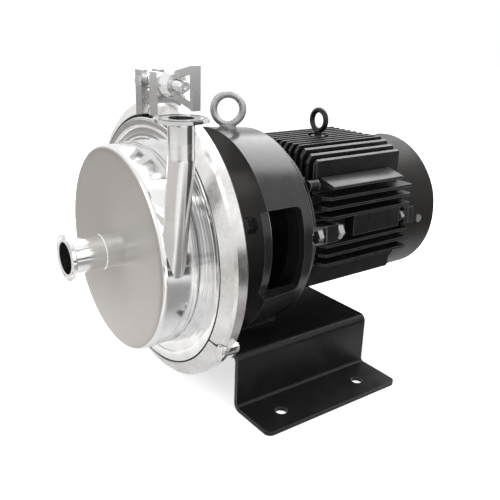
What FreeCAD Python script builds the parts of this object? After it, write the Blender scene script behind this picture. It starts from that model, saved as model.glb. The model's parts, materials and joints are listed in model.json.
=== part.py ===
"""A sanitary centrifugal pump on a flange motor, built piece by piece.

Lengths are millimetres and angles are degrees.  The shaft runs along Y at the shaft height, the
inlet faces -Y, the motor lies towards +Y and the discharge stands on the +X side.  The origin is
on the floor under the casing's front rim.  Every piece but the foot bracket is drawn about the
shaft line and then lifted to the shaft height, so its own Z is measured from the shaft.
"""
import FreeCAD, Part
import Sketcher
import math
import os

SIZES = {
    # The shaft line and the clearances that moving pieces keep.
    "shaft_height": 180.0,
    "running_gap": 0.3,
    "seal_film": 0.1,
    "pin_play": 0.05,
    # The casing: a shallow drum with a dished front, a stepped ring and the clamp flange.
    "drum_radius": 114.0,
    "drum_depth": 33.4,
    "drum_wall": 4.0,
    "drum_edge_round": 5.0,
    "front_depth": 6.0,
    "dish_depth": 6.0,
    "dish_land": 8.0,
    "seam_width": 0.8,
    "seam_depth": 0.8,
    "ring_step": 2.0,
    "joint_plane": 63.0,
    "flange_radius": 149.0,
    "flange_lip": 10.5,
    "flange_half_width": 15.0,
    "flange_taper_half": 9.0,
    "flange_edge_half": 5.0,
    # The clamp ferrules and the two tubes.
    "ferrule_radius": 25.25,
    "ferrule_rim": 2.9,
    "ferrule_taper": 3.6,
    "ferrule_groove_radius": 21.8,
    "ferrule_groove_width": 3.0,
    "ferrule_groove_depth": 1.5,
    "inlet_tube_radius": 19.05,
    "inlet_wall": 1.6,
    "inlet_reach": 55.0,
    "inlet_weld_place": 14.0,
    "weld_width": 1.8,
    "weld_height": 0.5,
    "outlet_tube_radius": 12.7,
    "outlet_wall": 1.2,
    "outlet_offset": 6.8,
    "outlet_along": 17.0,
    "outlet_top": 157.75,
    "outlet_ferrule_length": 21.5,
    "outlet_bend_height": 122.0,
    "outlet_lean": 9.0,
    "outlet_tube_foot": 4.0,
    "outlet_bore_foot": 25.0,
    # The gasket between the casing and the back plate.
    "gasket_inset": 25.0,
    "gasket_width": 6.0,
    "gasket_depth": 3.0,
    # The back plate and its seal chamber.
    "back_plate_thickness": 11.0,
    "back_rim_inset": 10.0,
    "chamber_bore": 26.0,
    "chamber_wall": 9.0,
    "chamber_depth": 27.0,
    "chamber_end": 8.0,
    # The mechanical seal.
    "seat_bore": 13.0,
    "seat_radius": 20.0,
    "seat_flange_radius": 24.0,
    "seat_flange": 4.0,
    "seal_ring_radius": 21.0,
    "seal_ring_length": 9.9,
    "seal_nose_radius": 18.5,
    "seal_nose_length": 4.0,
    "bellows_radius": 19.0,
    "bellows_root_radius": 15.5,
    "bellows_folds": 3,
    # The impeller with its nut.
    "impeller_radius": 92.0,
    "shroud_thickness": 6.0,
    "shroud_gap": 3.0,
    "hub_gap": 1.0,
    "impeller_hub_radius": 17.0,
    "impeller_hub_length": 32.0,
    "impeller_fairing": 9.0,
    "impeller_fairing_tip": 2.0,
    "impeller_rear_radius": 20.0,
    "impeller_seat_radius": 10.0,
    "vane_count": 6,
    "vane_thickness": 3.5,
    "vane_height": 40.0,
    "vane_inner_radius": 22.0,
    "vane_arc_radius": 60.0,
    "vane_arc_centre": 55.0,
    "nut_radius": 14.0,
    "nut_length": 17.0,
    "nut_tip_radius": 5.0,
    "nut_nose_length": 5.0,
    "nut_nose_drop": 3.0,
    "nut_skirt": 3.0,
    "shaft_thread_radius": 6.0,
    "shaft_thread_length": 12.0,
    # The pump shaft, a stub with a sleeve that slips over the motor shaft.
    "stub_radius": 12.0,
    "stub_reach": 17.0,
    "sleeve_radius": 24.0,
    "sleeve_grip": 45.0,
    "sleeve_chamfer": 2.0,
    "key_width": 8.0,
    "key_height": 7.0,
    "key_depth": 4.0,
    "key_inset": 3.0,
    "key_length": 36.0,
    "set_screw_radius": 4.0,
    "set_screw_place": 24.0,
    "set_screw_sink": 1.0,
    # The hinged clamp ring.
    "clamp_lip_gap": 2.5,
    "clamp_wall": 9.0,
    "clamp_edge_drop": 2.6,
    "clamp_edge_half": 8.0,
    "clamp_rim_half": 5.4,
    "hinge_inset": 1.0,
    "hinge_angle": 30.5,
    "hinge_end_gap": 0.55,
    "hinge_knuckle": 7.0,
    "hinge_knuckle_gap": 0.8,
    "hinge_web": 12.0,
    "hinge_web_inset": 1.0,
    "hinge_ear": 4.0,
    "hinge_ear_place": 5.0,
    "hinge_pin_radius": 4.0,
    "hinge_head_radius": 5.2,
    "hinge_head": 2.0,
    "head_clearance": 0.4,
    # The clamp's ears, swing bolt and wing nut.
    "ear_half_width": 14.0,
    "ear_drop": 48.5,
    "ear_rise": 11.5,
    "left_ear_outer": 32.4,
    "left_ear_inner": 18.2,
    "left_ear_slot": 13.4,
    "left_ear_slot_drop": 10.5,
    "right_ear_outer": 17.5,
    "right_ear_slot": 13.0,
    "right_ear_slot_drop": 7.5,
    "latch_rise": 18.5,
    "pivot_place": 25.5,
    "pivot_radius": 4.0,
    "pivot_head_radius": 5.2,
    "pivot_head": 1.6,
    "bolt_radius": 6.0,
    "bolt_thread_depth": 1.07,
    "bolt_eye_radius": 9.0,
    "bolt_eye_width": 12.8,
    "bolt_end": 51.0,
    "bolt_recess_radius": 2.6,
    "bolt_recess_depth": 3.0,
    "washer_radius": 13.0,
    "washer_thickness": 3.0,
    "nut_hub_radius": 14.0,
    "nut_hub_front_radius": 12.0,
    "nut_hub_length": 13.0,
    "nut_hub_step": 4.0,
    "nut_relief_reach": 2.0,
    "wing_start": 28.0,
    "wing_end": 67.0,
    "wing_root_half": 13.0,
    "wing_tip_half": 21.5,
    "wing_thickness": 5.0,
    "window_start": 37.0,
    "window_end": 63.0,
    "window_root_half": 8.0,
    "window_tip_half": 12.5,
    "wing_bar": 5.0,
    "wing_bar_width": 9.0,
    # The seal carrier, the neck between the back plate and the lantern.
    "carrier_bore": 52.0,
    "carrier_radius": 68.0,
    "carrier_flange_radius": 100.0,
    "carrier_flange": 9.0,
    "carrier_screw_circle": 60.0,
    "carrier_screw_radius": 4.0,
    "carrier_screw_depth": 8.0,
    "screw_clearance": 0.3,
    "socket_head_radius": 6.5,
    "socket_head": 8.0,
    "socket_flats": 6.0,
    "socket_depth": 4.0,
    # The lantern between the carrier and the motor.
    "lantern_gap": 51.0,
    "lantern_length": 60.5,
    "lantern_radius": 119.6,
    "lantern_flare": 4.9,
    "lantern_wall": 8.0,
    "lantern_front_wall": 10.0,
    "lantern_rear_ring": 10.0,
    "lantern_spigot_radius": 90.0,
    "window_low_angle": -22.6,
    "window_high_angle": 25.5,
    "window_inset": 12.0,
    "window_corner": 6.0,
    "lantern_screw_circle": 85.0,
    "lantern_screw_angle": 20.0,
    "lantern_screw_radius": 5.0,
    "lantern_screw_flats": 17.0,
    "lantern_screw_head": 6.4,
    "foot_half_width": 60.0,
    "foot_thickness": 14.0,
    "foot_bolt_offset": 40.0,
    "foot_bolt_inset": 17.0,
    "foot_bolt_pitch": 26.0,
    "foot_bolt_radius": 5.0,
    "foot_bolt_flats": 17.0,
    "foot_bolt_head": 6.4,
    "foot_bolt_grip": 10.0,
    # The lifting eye on the lantern.
    "eye_inset": 25.0,
    "eye_ring_radius": 16.75,
    "eye_wire_radius": 4.25,
    "eye_angle": 57.0,
    "eye_collar_radius": 10.0,
    "eye_collar": 4.0,
    "eye_lift": 22.0,
    "eye_boss_rise": 2.4,
    "eye_boss_radius": 11.5,
    "eye_shank_radius": 5.0,
    "eye_shank": 8.5,
    # The foot bracket, a hat section bent from plate.
    "bracket_lead": 32.0,
    "bracket_length": 200.0,
    "foot_drop": 110.0,
    "bracket_plate": 5.0,
    "bracket_web": 111.5,
    "bracket_edge": 171.5,
    "bracket_bend": 4.0,
    "bracket_corner": 8.0,
    "floor_hole_radius": 7.0,
    "floor_hole_x": 144.5,
    "floor_hole_front": 39.0,
    "floor_hole_pitch": 120.0,
    # The motor's flange shield and its bolts.
    "motor_flange_radius": 117.0,
    "motor_flange": 4.5,
    "motor_spigot": 4.0,
    "flange_flat_gap": 0.4,
    "flange_bolt_circle": 100.0,
    "flange_bolt_radius": 5.0,
    "flange_bolt_flats": 17.0,
    "flange_bolt_head": 6.4,
    "flange_bolt_bite": 12.0,
    "shield_rim_radius": 107.0,
    "shield_rim": 12.0,
    "shield_neck": 10.0,
    "shield_shoulder_radius": 100.0,
    "shield_shoulder_round": 8.0,
    "shield_register": 4.0,
    "shield_web": 8.0,
    "shield_boss_circle": 108.0,
    "shield_boss_angle": 37.0,
    "shield_boss_radius": 6.5,
    "shield_boss_length": 14.0,
    "shaft_hole_gap": 1.0,
    # The finned motor frame.
    "frame_length": 150.0,
    "frame_radius": 88.0,
    "frame_bore": 76.0,
    "fin_inset": 5.0,
    "fin_pitch": 11.0,
    "fin_thickness": 3.4,
    "fin_side_count": 7,
    "fin_root": 40.0,
    "fin_top": 103.0,
    "fin_shoulder_x": 48.0,
    "fin_corner_x": 80.0,
    "fin_corner_z": 89.5,
    "frame_half_width": 105.0,
    "ledge_top": 64.5,
    "ledge_thickness": 2.4,
    "ledge_front_inset": 14.0,
    "ledge_rear_inset": 19.0,
    "side_bottom": 51.0,
    "belly_half_width": 20.0,
    "belly_depth": 99.5,
    "side_fin_pitch": 11.8,
    "side_fin_top": 51.0,
    "side_fin_low": -6.5,
    "side_fin_thickness": 3.2,
    "side_fin_count": 3,
    "pad_front_inset": 53.0,
    "pad_rear_inset": 17.0,
    "pad_top": 28.0,
    "pad_bottom": 0.0,
    "pad_reach": 103.5,
    "fin_chamfer_along": 8.0,
    "fin_chamfer_drop": 6.0,
    "fin_rear_chamfer": 2.5,
    "lug_count": 3,
    "lug_angle": 6.3,
    "lug_circle": 107.5,
    "lug_width": 20.0,
    "lug_reach": 7.0,
    "lug_root": 8.0,
    "lug_length": 18.0,
    "lug_seat": 6.5,
    "rear_lug_circle": 97.0,
    "rear_lug_length": 7.0,
    "tie_bolt_radius": 5.0,
    "tie_bolt_flats": 17.0,
    "tie_bolt_head": 6.4,
    "tie_bolt_tip": 2.0,
    "tie_nut": 8.0,
    "shield_bolt_radius": 4.0,
    "shield_bolt_flats": 13.0,
    "shield_bolt_head": 5.3,
    "shield_bolt_room": 1.6,
    "shield_bolt_bite": 8.0,
    # The motor's inner works.
    "stator_bore": 48.0,
    "stator_inset": 26.0,
    "stator_length": 86.0,
    "winding_inner": 51.0,
    "winding_outer": 72.0,
    "winding_reach": 18.0,
    "rotor_radius": 47.5,
    "motor_shaft_radius": 14.0,
    "motor_shaft_reach": 60.0,
    "bearing_seat_radius": 15.0,
    "rotor_shaft_radius": 17.0,
    "fan_shaft_radius": 12.0,
    "bearing_front_inset": 22.0,
    "bearing_rear_inset": 12.0,
    "bearing_width": 16.0,
    "bearing_radius": 31.0,
    "bearing_race_radius": 23.0,
    "bearing_housing_wall": 7.0,
    "bearing_cap": 4.0,
    # The rear shield, the fan and the fan cover.
    "rear_shield_thickness": 10.0,
    "rear_shield_web": 6.0,
    "cover_radius": 94.0,
    "cover_wall": 1.5,
    "cover_gap": 2.0,
    "cover_length": 61.0,
    "cover_slope_length": 22.0,
    "cover_mid_radius": 77.0,
    "cover_end_length": 9.0,
    "cover_rear_radius": 60.0,
    "grille_inner": 14.0,
    "grille_outer": 52.0,
    "grille_slot": 5.0,
    "grille_slots": 16,
    "cover_leg_length": 34.0,
    "cover_leg_width": 16.0,
    "cover_leg_depth": 7.0,
    "cover_screw_inset": 29.0,
    "cover_screw_radius": 2.5,
    "cover_screw_head_radius": 5.0,
    "cover_screw_head": 2.6,
    "fan_inset": 34.0,
    "fan_length": 30.0,
    "fan_hub_radius": 20.0,
    "fan_disc_radius": 60.0,
    "fan_disc": 3.0,
    "fan_radius": 80.0,
    "fan_blades": 8,
    "fan_blade_thickness": 2.5,
    "fan_blade_bite": 2.0,
    # The lifting eye on the motor.
    "motor_eye_inset": 80.0,
    "motor_eye_ring_radius": 12.8,
    "motor_eye_wire_radius": 3.4,
    "motor_eye_base": 98.0,
    "motor_eye_lift": 24.2,
    "motor_eye_collar_radius": 9.0,
    "motor_eye_collar": 4.5,
    "motor_eye_neck_radius": 5.0,
    "motor_eye_shank_radius": 4.0,
    "motor_eye_shank": 8.0,
    "motor_eye_boss_radius": 12.0,
    "motor_eye_boss_clear": 1.5,
    # The terminal box on the far side of the motor.
    "box_inset": 26.0,
    "box_length": 94.0,
    "box_bottom": -34.0,
    "box_top": 52.0,
    "box_depth": 36.0,
    "box_wall": 3.5,
    "box_corner": 8.0,
    "lid_thickness": 10.0,
    "box_screw_inset": 9.0,
    "box_screw_radius": 2.5,
    "box_screw_head_radius": 4.5,
    "box_screw_head": 2.4,
    "box_screw_depth": 8.0,
    "box_post_radius": 6.5,
    "gland_radius": 9.0,
    "gland_flats": 27.0,
    "gland_hex": 7.0,
    "gland_cap_radius": 12.0,
    "gland_cap_taper": 3.0,
    "gland_cap": 14.0,
    "gland_hole_radius": 5.5,
    "gland_thread": 9.0,
}

# How far a cutting shape runs past the face it leaves, and the plain angles.
OVERCUT = 1
EIGHTH_TURN = 45
QUARTER_TURN = 90
HALF_TURN = 180
FULL_TURN = 360

Y_NORMAL = "XZ_Plane"
X_NORMAL = "YZ_Plane"
Z_NORMAL = "XY_Plane"
DIRECTIONS = {"X": "vector(1; 0; 0)", "Y": "vector(0; 1; 0)", "Z": "vector(0; 0; 1)"}

doc = FreeCAD.newDocument("SanitaryPump")
nodes = {}


def fill_sheet():
    """Put every driving size in the sheet, one row each."""
    page = doc.addObject("Spreadsheet::Sheet", "Sizes")
    for row, (alias, number) in enumerate(SIZES.items(), 1):
        page.set("A%d" % row, alias)
        page.set("B%d" % row, str(number))
        page.setAlias("B%d" % row, alias)
    doc.recompute()
    return page


class Formula:
    """A sheet formula with its present value, which starts a drawing near its solution."""

    def __init__(self, text, value):
        self.text = text
        self.value = value

    def __add__(self, other):
        other = formula(other)
        return Formula("(%s + %s)" % (self.text, other.text), self.value + other.value)

    def __sub__(self, other):
        other = formula(other)
        return Formula("(%s - %s)" % (self.text, other.text), self.value - other.value)

    def __mul__(self, other):
        other = formula(other)
        return Formula("(%s * %s)" % (self.text, other.text), self.value * other.value)

    def __truediv__(self, other):
        other = formula(other)
        return Formula("(%s / %s)" % (self.text, other.text), self.value / other.value)

    def __radd__(self, other):
        return formula(other) + self

    def __rsub__(self, other):
        return formula(other) - self

    def __rmul__(self, other):
        return formula(other) * self

    def __neg__(self):
        return Formula("(0 - %s)" % self.text, -self.value)


def formula(item):
    """Return the item as a Formula, whether it is one already or a plain number."""
    if isinstance(item, Formula):
        return item
    return Formula("(%r)" % float(item), float(item))


def sine(angle):
    angle = formula(angle)
    return Formula("sin(%s)" % angle.text, math.sin(math.radians(angle.value)))


def cosine(angle):
    angle = formula(angle)
    return Formula("cos(%s)" % angle.text, math.cos(math.radians(angle.value)))


def arc_cosine(ratio):
    ratio = formula(ratio)
    return Formula("(acos(%s) / 1 deg)" % ratio.text, math.degrees(math.acos(ratio.value)))


def root(item):
    item = formula(item)
    return Formula("sqrt(%s)" % item.text, math.sqrt(item.value))


class Sheet:
    """Gives each alias of the sheet as a Formula."""

    def __init__(self, page):
        self.page = page

    def __getattr__(self, alias):
        return Formula("Sizes.%s" % alias, float(getattr(self.page, alias)))


s = Sheet(fill_sheet())


def count(size):
    """The whole number that a counting size holds."""
    return int(round(size.value))


def bind(item, **sizes):
    """Tie properties of an object to sheet formulas."""
    for name, size in sizes.items():
        item.setExpression(name, formula(size).text)
    return item


def place(item, at=(0, 0, 0), turns=()):
    """Tie an object's place and its turns, each an axis letter with an angle, to the sheet."""
    spot = "; ".join(formula(length).text for length in at)
    spins = ["rotation(%s; %s)" % (DIRECTIONS[axis], formula(angle).text) for axis, angle in turns]
    spin = " * ".join(spins) or "rotation(%s; 0)" % DIRECTIONS["Z"]
    item.setExpression("Placement", "placement(vector(%s); %s)" % (spot, spin))
    return item


def node(name, item, lift=True):
    """Name a finished piece and lift it to the shaft height."""
    item.Label = name
    nodes[name] = item
    if lift:
        place(item, (0, 0, s.shaft_height))
    return item


def new_body(name):
    return doc.addObject("PartDesign::Body", name)


def origin_part(body, role):
    """The plane or axis of a body's own origin that plays a role."""
    return next(part for part in body.Origin.OriginFeatures if part.Role == role)


def drawing(body, plane, level=0):
    """A sketch on one of the body's planes, moved along the positive axis by the level."""
    sketch = body.newObject("Sketcher::SketchObject", body.Name + "_sketch")
    sketch.AttachmentSupport = (origin_part(body, plane), [""])
    sketch.MapMode = "FlatFace"
    shift = -formula(level) if plane == Y_NORMAL else formula(level)
    sketch.setExpression("AttachmentOffset.Base.z", shift.text)
    return sketch


def tie_point(sketch, geometry, point, u, v):
    """Hold a point of the sketch at two coordinates."""
    for kind, size in (("DistanceX", formula(u)), ("DistanceY", formula(v))):
        index = sketch.addConstraint(Sketcher.Constraint(kind, -1, 1, geometry, point, size.value))
        sketch.setExpression("Constraints[%d]" % index, size.text)


def draw_outline(sketch, corners):
    """A closed outline of straight edges whose corners are tied to the sheet."""
    spots = [FreeCAD.Vector(formula(u).value, formula(v).value, 0) for u, v in corners]
    following = spots[1:] + spots[:1]
    edges = [Part.LineSegment(start, end) for start, end in zip(spots, following)]
    names = sketch.addGeometry(edges, False)
    for name, after in zip(names, names[1:] + names[:1]):
        sketch.addConstraint(Sketcher.Constraint("Coincident", name, 2, after, 1))
    for name, (u, v) in zip(names, corners):
        tie_point(sketch, name, 1, u, v)


def draw_circle(sketch, u, v, radius):
    """A circle whose centre and radius are tied to the sheet."""
    centre = FreeCAD.Vector(formula(u).value, formula(v).value, 0)
    size = formula(radius)
    name = sketch.addGeometry(Part.Circle(centre, FreeCAD.Vector(0, 0, 1), size.value), False)
    tie_point(sketch, name, 3, u, v)
    index = sketch.addConstraint(Sketcher.Constraint("Radius", name, size.value))
    sketch.setExpression("Constraints[%d]" % index, size.text)


def turned(name, corners, middle=None, span=None):
    """A body turned about Y from corners (along, radius), whole or a sector about an angle.

    The angle is measured from +X towards +Z.
    """
    body = new_body(name)
    sketch = drawing(body, X_NORMAL)
    draw_outline(sketch, corners)
    feature = body.newObject("PartDesign::Revolution", name + "_turn")
    feature.Profile = sketch
    feature.ReferenceAxis = (sketch, ["H_Axis"])
    if span is not None:
        feature.Midplane = True
        bind(feature, Angle=span)
        place(body, turns=(("Y", QUARTER_TURN - formula(middle)),))
    return body


def prism(body, plane, start, end, outlines=(), circles=(), cut=False):
    """Add or cut a straight prism between two levels of the plane's axis."""
    start, end = formula(start), formula(end)
    from_end = (plane == Y_NORMAL) != cut
    sketch = drawing(body, plane, end if from_end else start)
    for corners in outlines:
        draw_outline(sketch, corners)
    for u, v, radius in circles:
        draw_circle(sketch, u, v, radius)
    kind = "Pocket" if cut else "Pad"
    feature = body.newObject("PartDesign::" + kind, "%s_%s" % (body.Name, kind.lower()))
    feature.Profile = sketch
    bind(feature, Length=end - start)
    return feature


def repeat_about(body, features, axis, number):
    """Repeat features of a body evenly about one of its axes."""
    pattern = body.newObject("PartDesign::PolarPattern", body.Name + "_ring")
    pattern.Originals = features
    pattern.Axis = (origin_part(body, axis), [""])
    pattern.Angle = FULL_TURN
    bind(pattern, Occurrences=number)
    body.Tip = pattern
    return pattern


def edge_names(feature, spots):
    """The names of the edges of a feature that pass through the given points."""
    doc.recompute()
    names = []
    for spot in spots:
        point = Part.Vertex(*[formula(length).value for length in spot])
        gaps = [edge.distToShape(point)[0] for edge in feature.Shape.Edges]
        names.append("Edge%d" % (gaps.index(min(gaps)) + 1))
    return names


def dress(body, kind, names, **sizes):
    """Round or chamfer edges or whole faces of a body's last feature."""
    feature = body.newObject("PartDesign::" + kind, "%s_%s" % (body.Name, kind.lower()))
    feature.Base = (body.Group[-2], names)
    bind(feature, **sizes)
    return feature


def cylinder(name, radius, start, end, axis, u=0, v=0):
    """A cylinder along an axis between two levels; u and v are its other two coordinates."""
    item = bind(doc.addObject("Part::Cylinder", name), Radius=radius, Height=formula(end) - start)
    if axis == "X":
        return place(item, (start, u, v), (("Y", QUARTER_TURN),))
    if axis == "Y":
        return place(item, (u, start, v), (("X", -QUARTER_TURN),))
    return place(item, (u, v, start))


def box(name, x, y, z):
    """A box from pairs of limits."""
    item = doc.addObject("Part::Box", name)
    bind(item, Length=formula(x[1]) - x[0], Width=formula(y[1]) - y[0], Height=formula(z[1]) - z[0])
    return place(item, (x[0], y[0], z[0]))


def fuse(name, shapes, refine=True):
    item = doc.addObject("Part::MultiFuse", name)
    item.Shapes = shapes
    item.Refine = refine
    return item


def cut(name, base, tool, refine=True):
    item = doc.addObject("Part::Cut", name)
    item.Base = base
    item.Tool = tool
    item.Refine = refine
    return item


def common(name, first, second):
    item = doc.addObject("Part::Common", name)
    item.Base = first
    item.Tool = second
    return item


def group(name, items):
    """Like pieces kept as separate solids under one name."""
    item = doc.addObject("Part::Compound", name)
    item.Links = items
    return node(name, item)


def hex_screw(name, thread, length, flats, head, at, turns):
    """A hexagon screw: its head rises along its own Z and its shank runs the other way."""
    top = doc.addObject("Part::Prism", name + "_head")
    top.Polygon = 6
    bind(top, Circumradius=formula(flats) / root(3), Height=head)
    shank = cylinder(name + "_shank", thread, -formula(length), 0, "Z")
    return place(fuse(name, [top, shank]), at, turns)


def round_screw(name, thread, length, head_radius, head, at, turns):
    """A screw with a low round head, set like the hexagon one."""
    top = cylinder(name + "_head", head_radius, 0, head, "Z")
    shank = cylinder(name + "_shank", thread, -formula(length), 0, "Z")
    return place(fuse(name, [top, shank]), at, turns)


def on_circle(circle, start, number=4):
    """Places (x, z) spread evenly on a circle about the shaft."""
    angles = [formula(start) + FULL_TURN / number * step for step in range(number)]
    return [(circle * cosine(angle), circle * sine(angle)) for angle in angles]


def ferrule(name, tube, wall, length, weld=None):
    """A clamp ferrule whose face is at its own Y = 0 and whose tube runs to +Y."""
    bore = tube - wall
    inner = s.ferrule_groove_radius - s.ferrule_groove_width / 2
    outer = s.ferrule_groove_radius + s.ferrule_groove_width / 2
    slope_end = s.ferrule_rim + s.ferrule_taper
    corners = [(0, bore), (0, inner), (s.ferrule_groove_depth, inner), (s.ferrule_groove_depth, outer)]
    corners += [(0, outer), (0, s.ferrule_radius), (s.ferrule_rim, s.ferrule_radius), (slope_end, tube)]
    if weld is not None:
        raised = tube + s.weld_height
        corners += [(weld - s.weld_width, tube), (weld - s.weld_width / 2, raised)]
        corners += [(weld + s.weld_width / 2, raised), (weld + s.weld_width, tube)]
    corners += [(length, tube), (length, bore)]
    return turned(name, corners)


# Stations along the shaft, each counted from its neighbour.
back_face = s.joint_plane + s.back_plate_thickness
lantern_front = back_face + s.lantern_gap
lantern_rear = lantern_front + s.lantern_length
motor_face = lantern_rear
flange_rear = motor_face + s.motor_flange
rim_rear = flange_rear + s.shield_rim
frame_front = rim_rear + s.shield_neck
frame_rear = frame_front + s.frame_length
fin_front = frame_front + s.fin_inset
motor_shaft_front = motor_face - s.motor_shaft_reach
bearing_front = frame_front - s.bearing_front_inset
bearing_front_end = bearing_front + s.bearing_width
bearing_rear = frame_rear - s.bearing_rear_inset
bearing_rear_end = bearing_rear + s.bearing_width
cover_front = frame_rear + s.cover_gap
cover_bend = cover_front + s.cover_length
cover_mid = cover_bend + s.cover_slope_length
cover_rear = cover_mid + s.cover_end_length
foot_plane = formula(0) - s.foot_drop

# The casing: a dished front, the stepped wall with its flange, and the leaning discharge tube.
outlet_x = s.drum_radius + s.outlet_offset
cavity_radius = s.drum_radius - s.drum_wall
land_radius = s.drum_radius - s.dish_land
neck_radius = s.flange_radius - s.flange_lip
flange_front = s.joint_plane - s.flange_half_width
plate_inside = s.dish_depth + s.drum_wall


def casing_outline(start):
    """The outer corners of the wall and its flange, from a level up to the joint plane."""
    step_radius = s.drum_radius + s.ring_step
    seam_end = s.drum_depth + s.seam_width
    corners = [(start, s.drum_radius), (s.drum_depth, s.drum_radius)]
    corners += [(s.drum_depth, s.drum_radius - s.seam_depth), (seam_end, s.drum_radius - s.seam_depth)]
    corners += [(seam_end, step_radius), (flange_front, step_radius), (flange_front, neck_radius)]
    corners += [(s.joint_plane - s.flange_taper_half, neck_radius)]
    return corners + [(s.joint_plane - s.flange_edge_half, s.flange_radius), (s.joint_plane, s.flange_radius)]


def round_front(body):
    """Round the drum's front edge."""
    rim = edge_names(body.Group[-1], [(0, 0, s.drum_radius)])
    dress(body, "Fillet", rim, Radius=s.drum_edge_round)
    return body


def leaning_tube(name, radius, foot, top):
    """The vertical run, the elbow and the run that leans in towards the drum."""
    drop = (s.outlet_bend_height - foot) / cosine(s.outlet_lean)
    upright = cylinder(name + "_upright", radius, s.outlet_bend_height, top, "Z", outlet_x, s.outlet_along)
    elbow = bind(doc.addObject("Part::Sphere", name + "_elbow"), Radius=radius)
    place(elbow, (outlet_x, s.outlet_along, s.outlet_bend_height))
    lean = bind(doc.addObject("Part::Cylinder", name + "_lean"), Radius=radius, Height=drop)
    place(lean, (outlet_x, s.outlet_along, s.outlet_bend_height), (("Y", HALF_TURN + s.outlet_lean),))
    return fuse(name, [upright, elbow, lean])


def make_casing():
    front = [(s.dish_depth, s.inlet_tube_radius), (0, land_radius), (0, s.drum_radius)]
    front += [(s.front_depth, s.drum_radius), (s.front_depth, cavity_radius), (s.drum_wall, cavity_radius)]
    front += [(s.drum_wall, land_radius), (plate_inside, s.inlet_tube_radius)]
    node("casing_front", round_front(turned("casing_front", front)))
    tube_top = s.outlet_top - s.outlet_ferrule_length
    tube = leaning_tube("tube_outside", s.outlet_tube_radius, s.outlet_tube_foot, tube_top)
    bore_radius = s.outlet_tube_radius - s.outlet_wall
    bore = leaning_tube("tube_bore", bore_radius, s.outlet_bore_foot, tube_top)
    wall = casing_outline(s.front_depth) + [(s.joint_plane, cavity_radius), (s.front_depth, cavity_radius)]
    node("casing", cut("casing", turned("casing_wall", wall), bore))
    whole = round_front(turned("casing_whole", [(0, 0)] + casing_outline(0) + [(s.joint_plane, 0)]))
    node("discharge_tube", cut("discharge_tube", tube, fuse("tube_tools", [bore, whole])))


make_casing()

inlet = ferrule("inlet_nozzle", s.inlet_tube_radius, s.inlet_wall, s.inlet_reach + plate_inside,
                s.inlet_reach - s.inlet_weld_place)
node("inlet_nozzle", inlet)
place(inlet, (0, -s.inlet_reach, s.shaft_height))

outlet = ferrule("outlet_ferrule", s.outlet_tube_radius, s.outlet_wall, s.outlet_ferrule_length)
node("outlet_ferrule", outlet)
place(outlet, (outlet_x, s.outlet_along, s.shaft_height + s.outlet_top), (("X", -QUARTER_TURN),))

# The back plate, the mirror image of the casing's flange, with the gasket and the seal chamber.
gasket_outer = s.flange_radius - s.gasket_inset
gasket_inner = gasket_outer - s.gasket_width
gasket_rear = s.joint_plane + s.gasket_depth
node("casing_gasket", turned("casing_gasket", [
    (s.joint_plane, gasket_inner), (s.joint_plane, gasket_outer),
    (gasket_rear, gasket_outer), (gasket_rear, gasket_inner)]))

back_rim_rear = s.joint_plane + s.flange_half_width
chamber_end = s.joint_plane + s.chamber_depth
chamber_rear = chamber_end + s.chamber_end
rim_inner = neck_radius - s.back_rim_inset


def make_back_plate():
    corners = [(s.joint_plane, s.chamber_bore), (s.joint_plane, gasket_inner), (gasket_rear, gasket_inner)]
    corners += [(gasket_rear, gasket_outer), (s.joint_plane, gasket_outer)]
    corners += [(s.joint_plane, s.flange_radius), (s.joint_plane + s.flange_edge_half, s.flange_radius)]
    corners += [(s.joint_plane + s.flange_taper_half, neck_radius), (back_rim_rear, neck_radius)]
    corners += [(back_rim_rear, rim_inner), (back_face, rim_inner - (back_rim_rear - back_face))]
    corners += [(back_face, s.chamber_bore + s.chamber_wall), (chamber_rear, s.chamber_bore + s.chamber_wall)]
    corners += [(chamber_rear, s.seat_radius), (chamber_end, s.seat_radius), (chamber_end, s.chamber_bore)]
    body = turned("back_plate", corners)
    screws = [(x, z, s.carrier_screw_radius) for x, z in on_circle(s.carrier_screw_circle, EIGHTH_TURN)]
    prism(body, Y_NORMAL, back_face - s.carrier_screw_depth, back_face, circles=screws, cut=True)
    node("back_plate", body)


make_back_plate()

# The mechanical seal: the seat stands still, the ring and its rubber bellows turn with the shaft.
seat_face = chamber_end - s.seat_flange
seal_face = seat_face - s.seal_film
ring_start = seal_face - s.seal_ring_length
nose_start = seal_face - s.seal_nose_length
hub_rear = s.joint_plane - s.hub_gap
node("seal_seat", turned("seal_seat", [
    (seat_face, s.seat_bore), (seat_face, s.seat_flange_radius), (chamber_end, s.seat_flange_radius),
    (chamber_end, s.seat_radius), (chamber_rear, s.seat_radius), (chamber_rear, s.seat_bore)]))
node("seal_ring", turned("seal_ring", [
    (ring_start, s.stub_radius), (ring_start, s.seal_ring_radius),
    (nose_start, s.seal_ring_radius), (nose_start, s.seal_nose_radius), (seal_face, s.seal_nose_radius),
    (seal_face, s.stub_radius)]))


def make_bellows():
    folds = count(s.bellows_folds)
    pitch = (ring_start - hub_rear) / folds
    corners = [(hub_rear, s.stub_radius)]
    for fold in range(folds):
        start = hub_rear + pitch * fold
        corners += [(start, s.bellows_radius), (start + pitch / 4, s.bellows_radius)]
        corners += [(start + pitch / 2, s.bellows_root_radius), (start + pitch * 3 / 4, s.bellows_radius)]
    corners += [(ring_start, s.bellows_radius), (ring_start, s.stub_radius)]
    node("seal_bellows", turned("seal_bellows", corners))


make_bellows()

# The impeller: an open wheel whose vanes bend back on circular arcs.
shroud_rear = s.joint_plane - s.shroud_gap
shroud_front = shroud_rear - s.shroud_thickness
hub_front = hub_rear - s.impeller_hub_length


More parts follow.
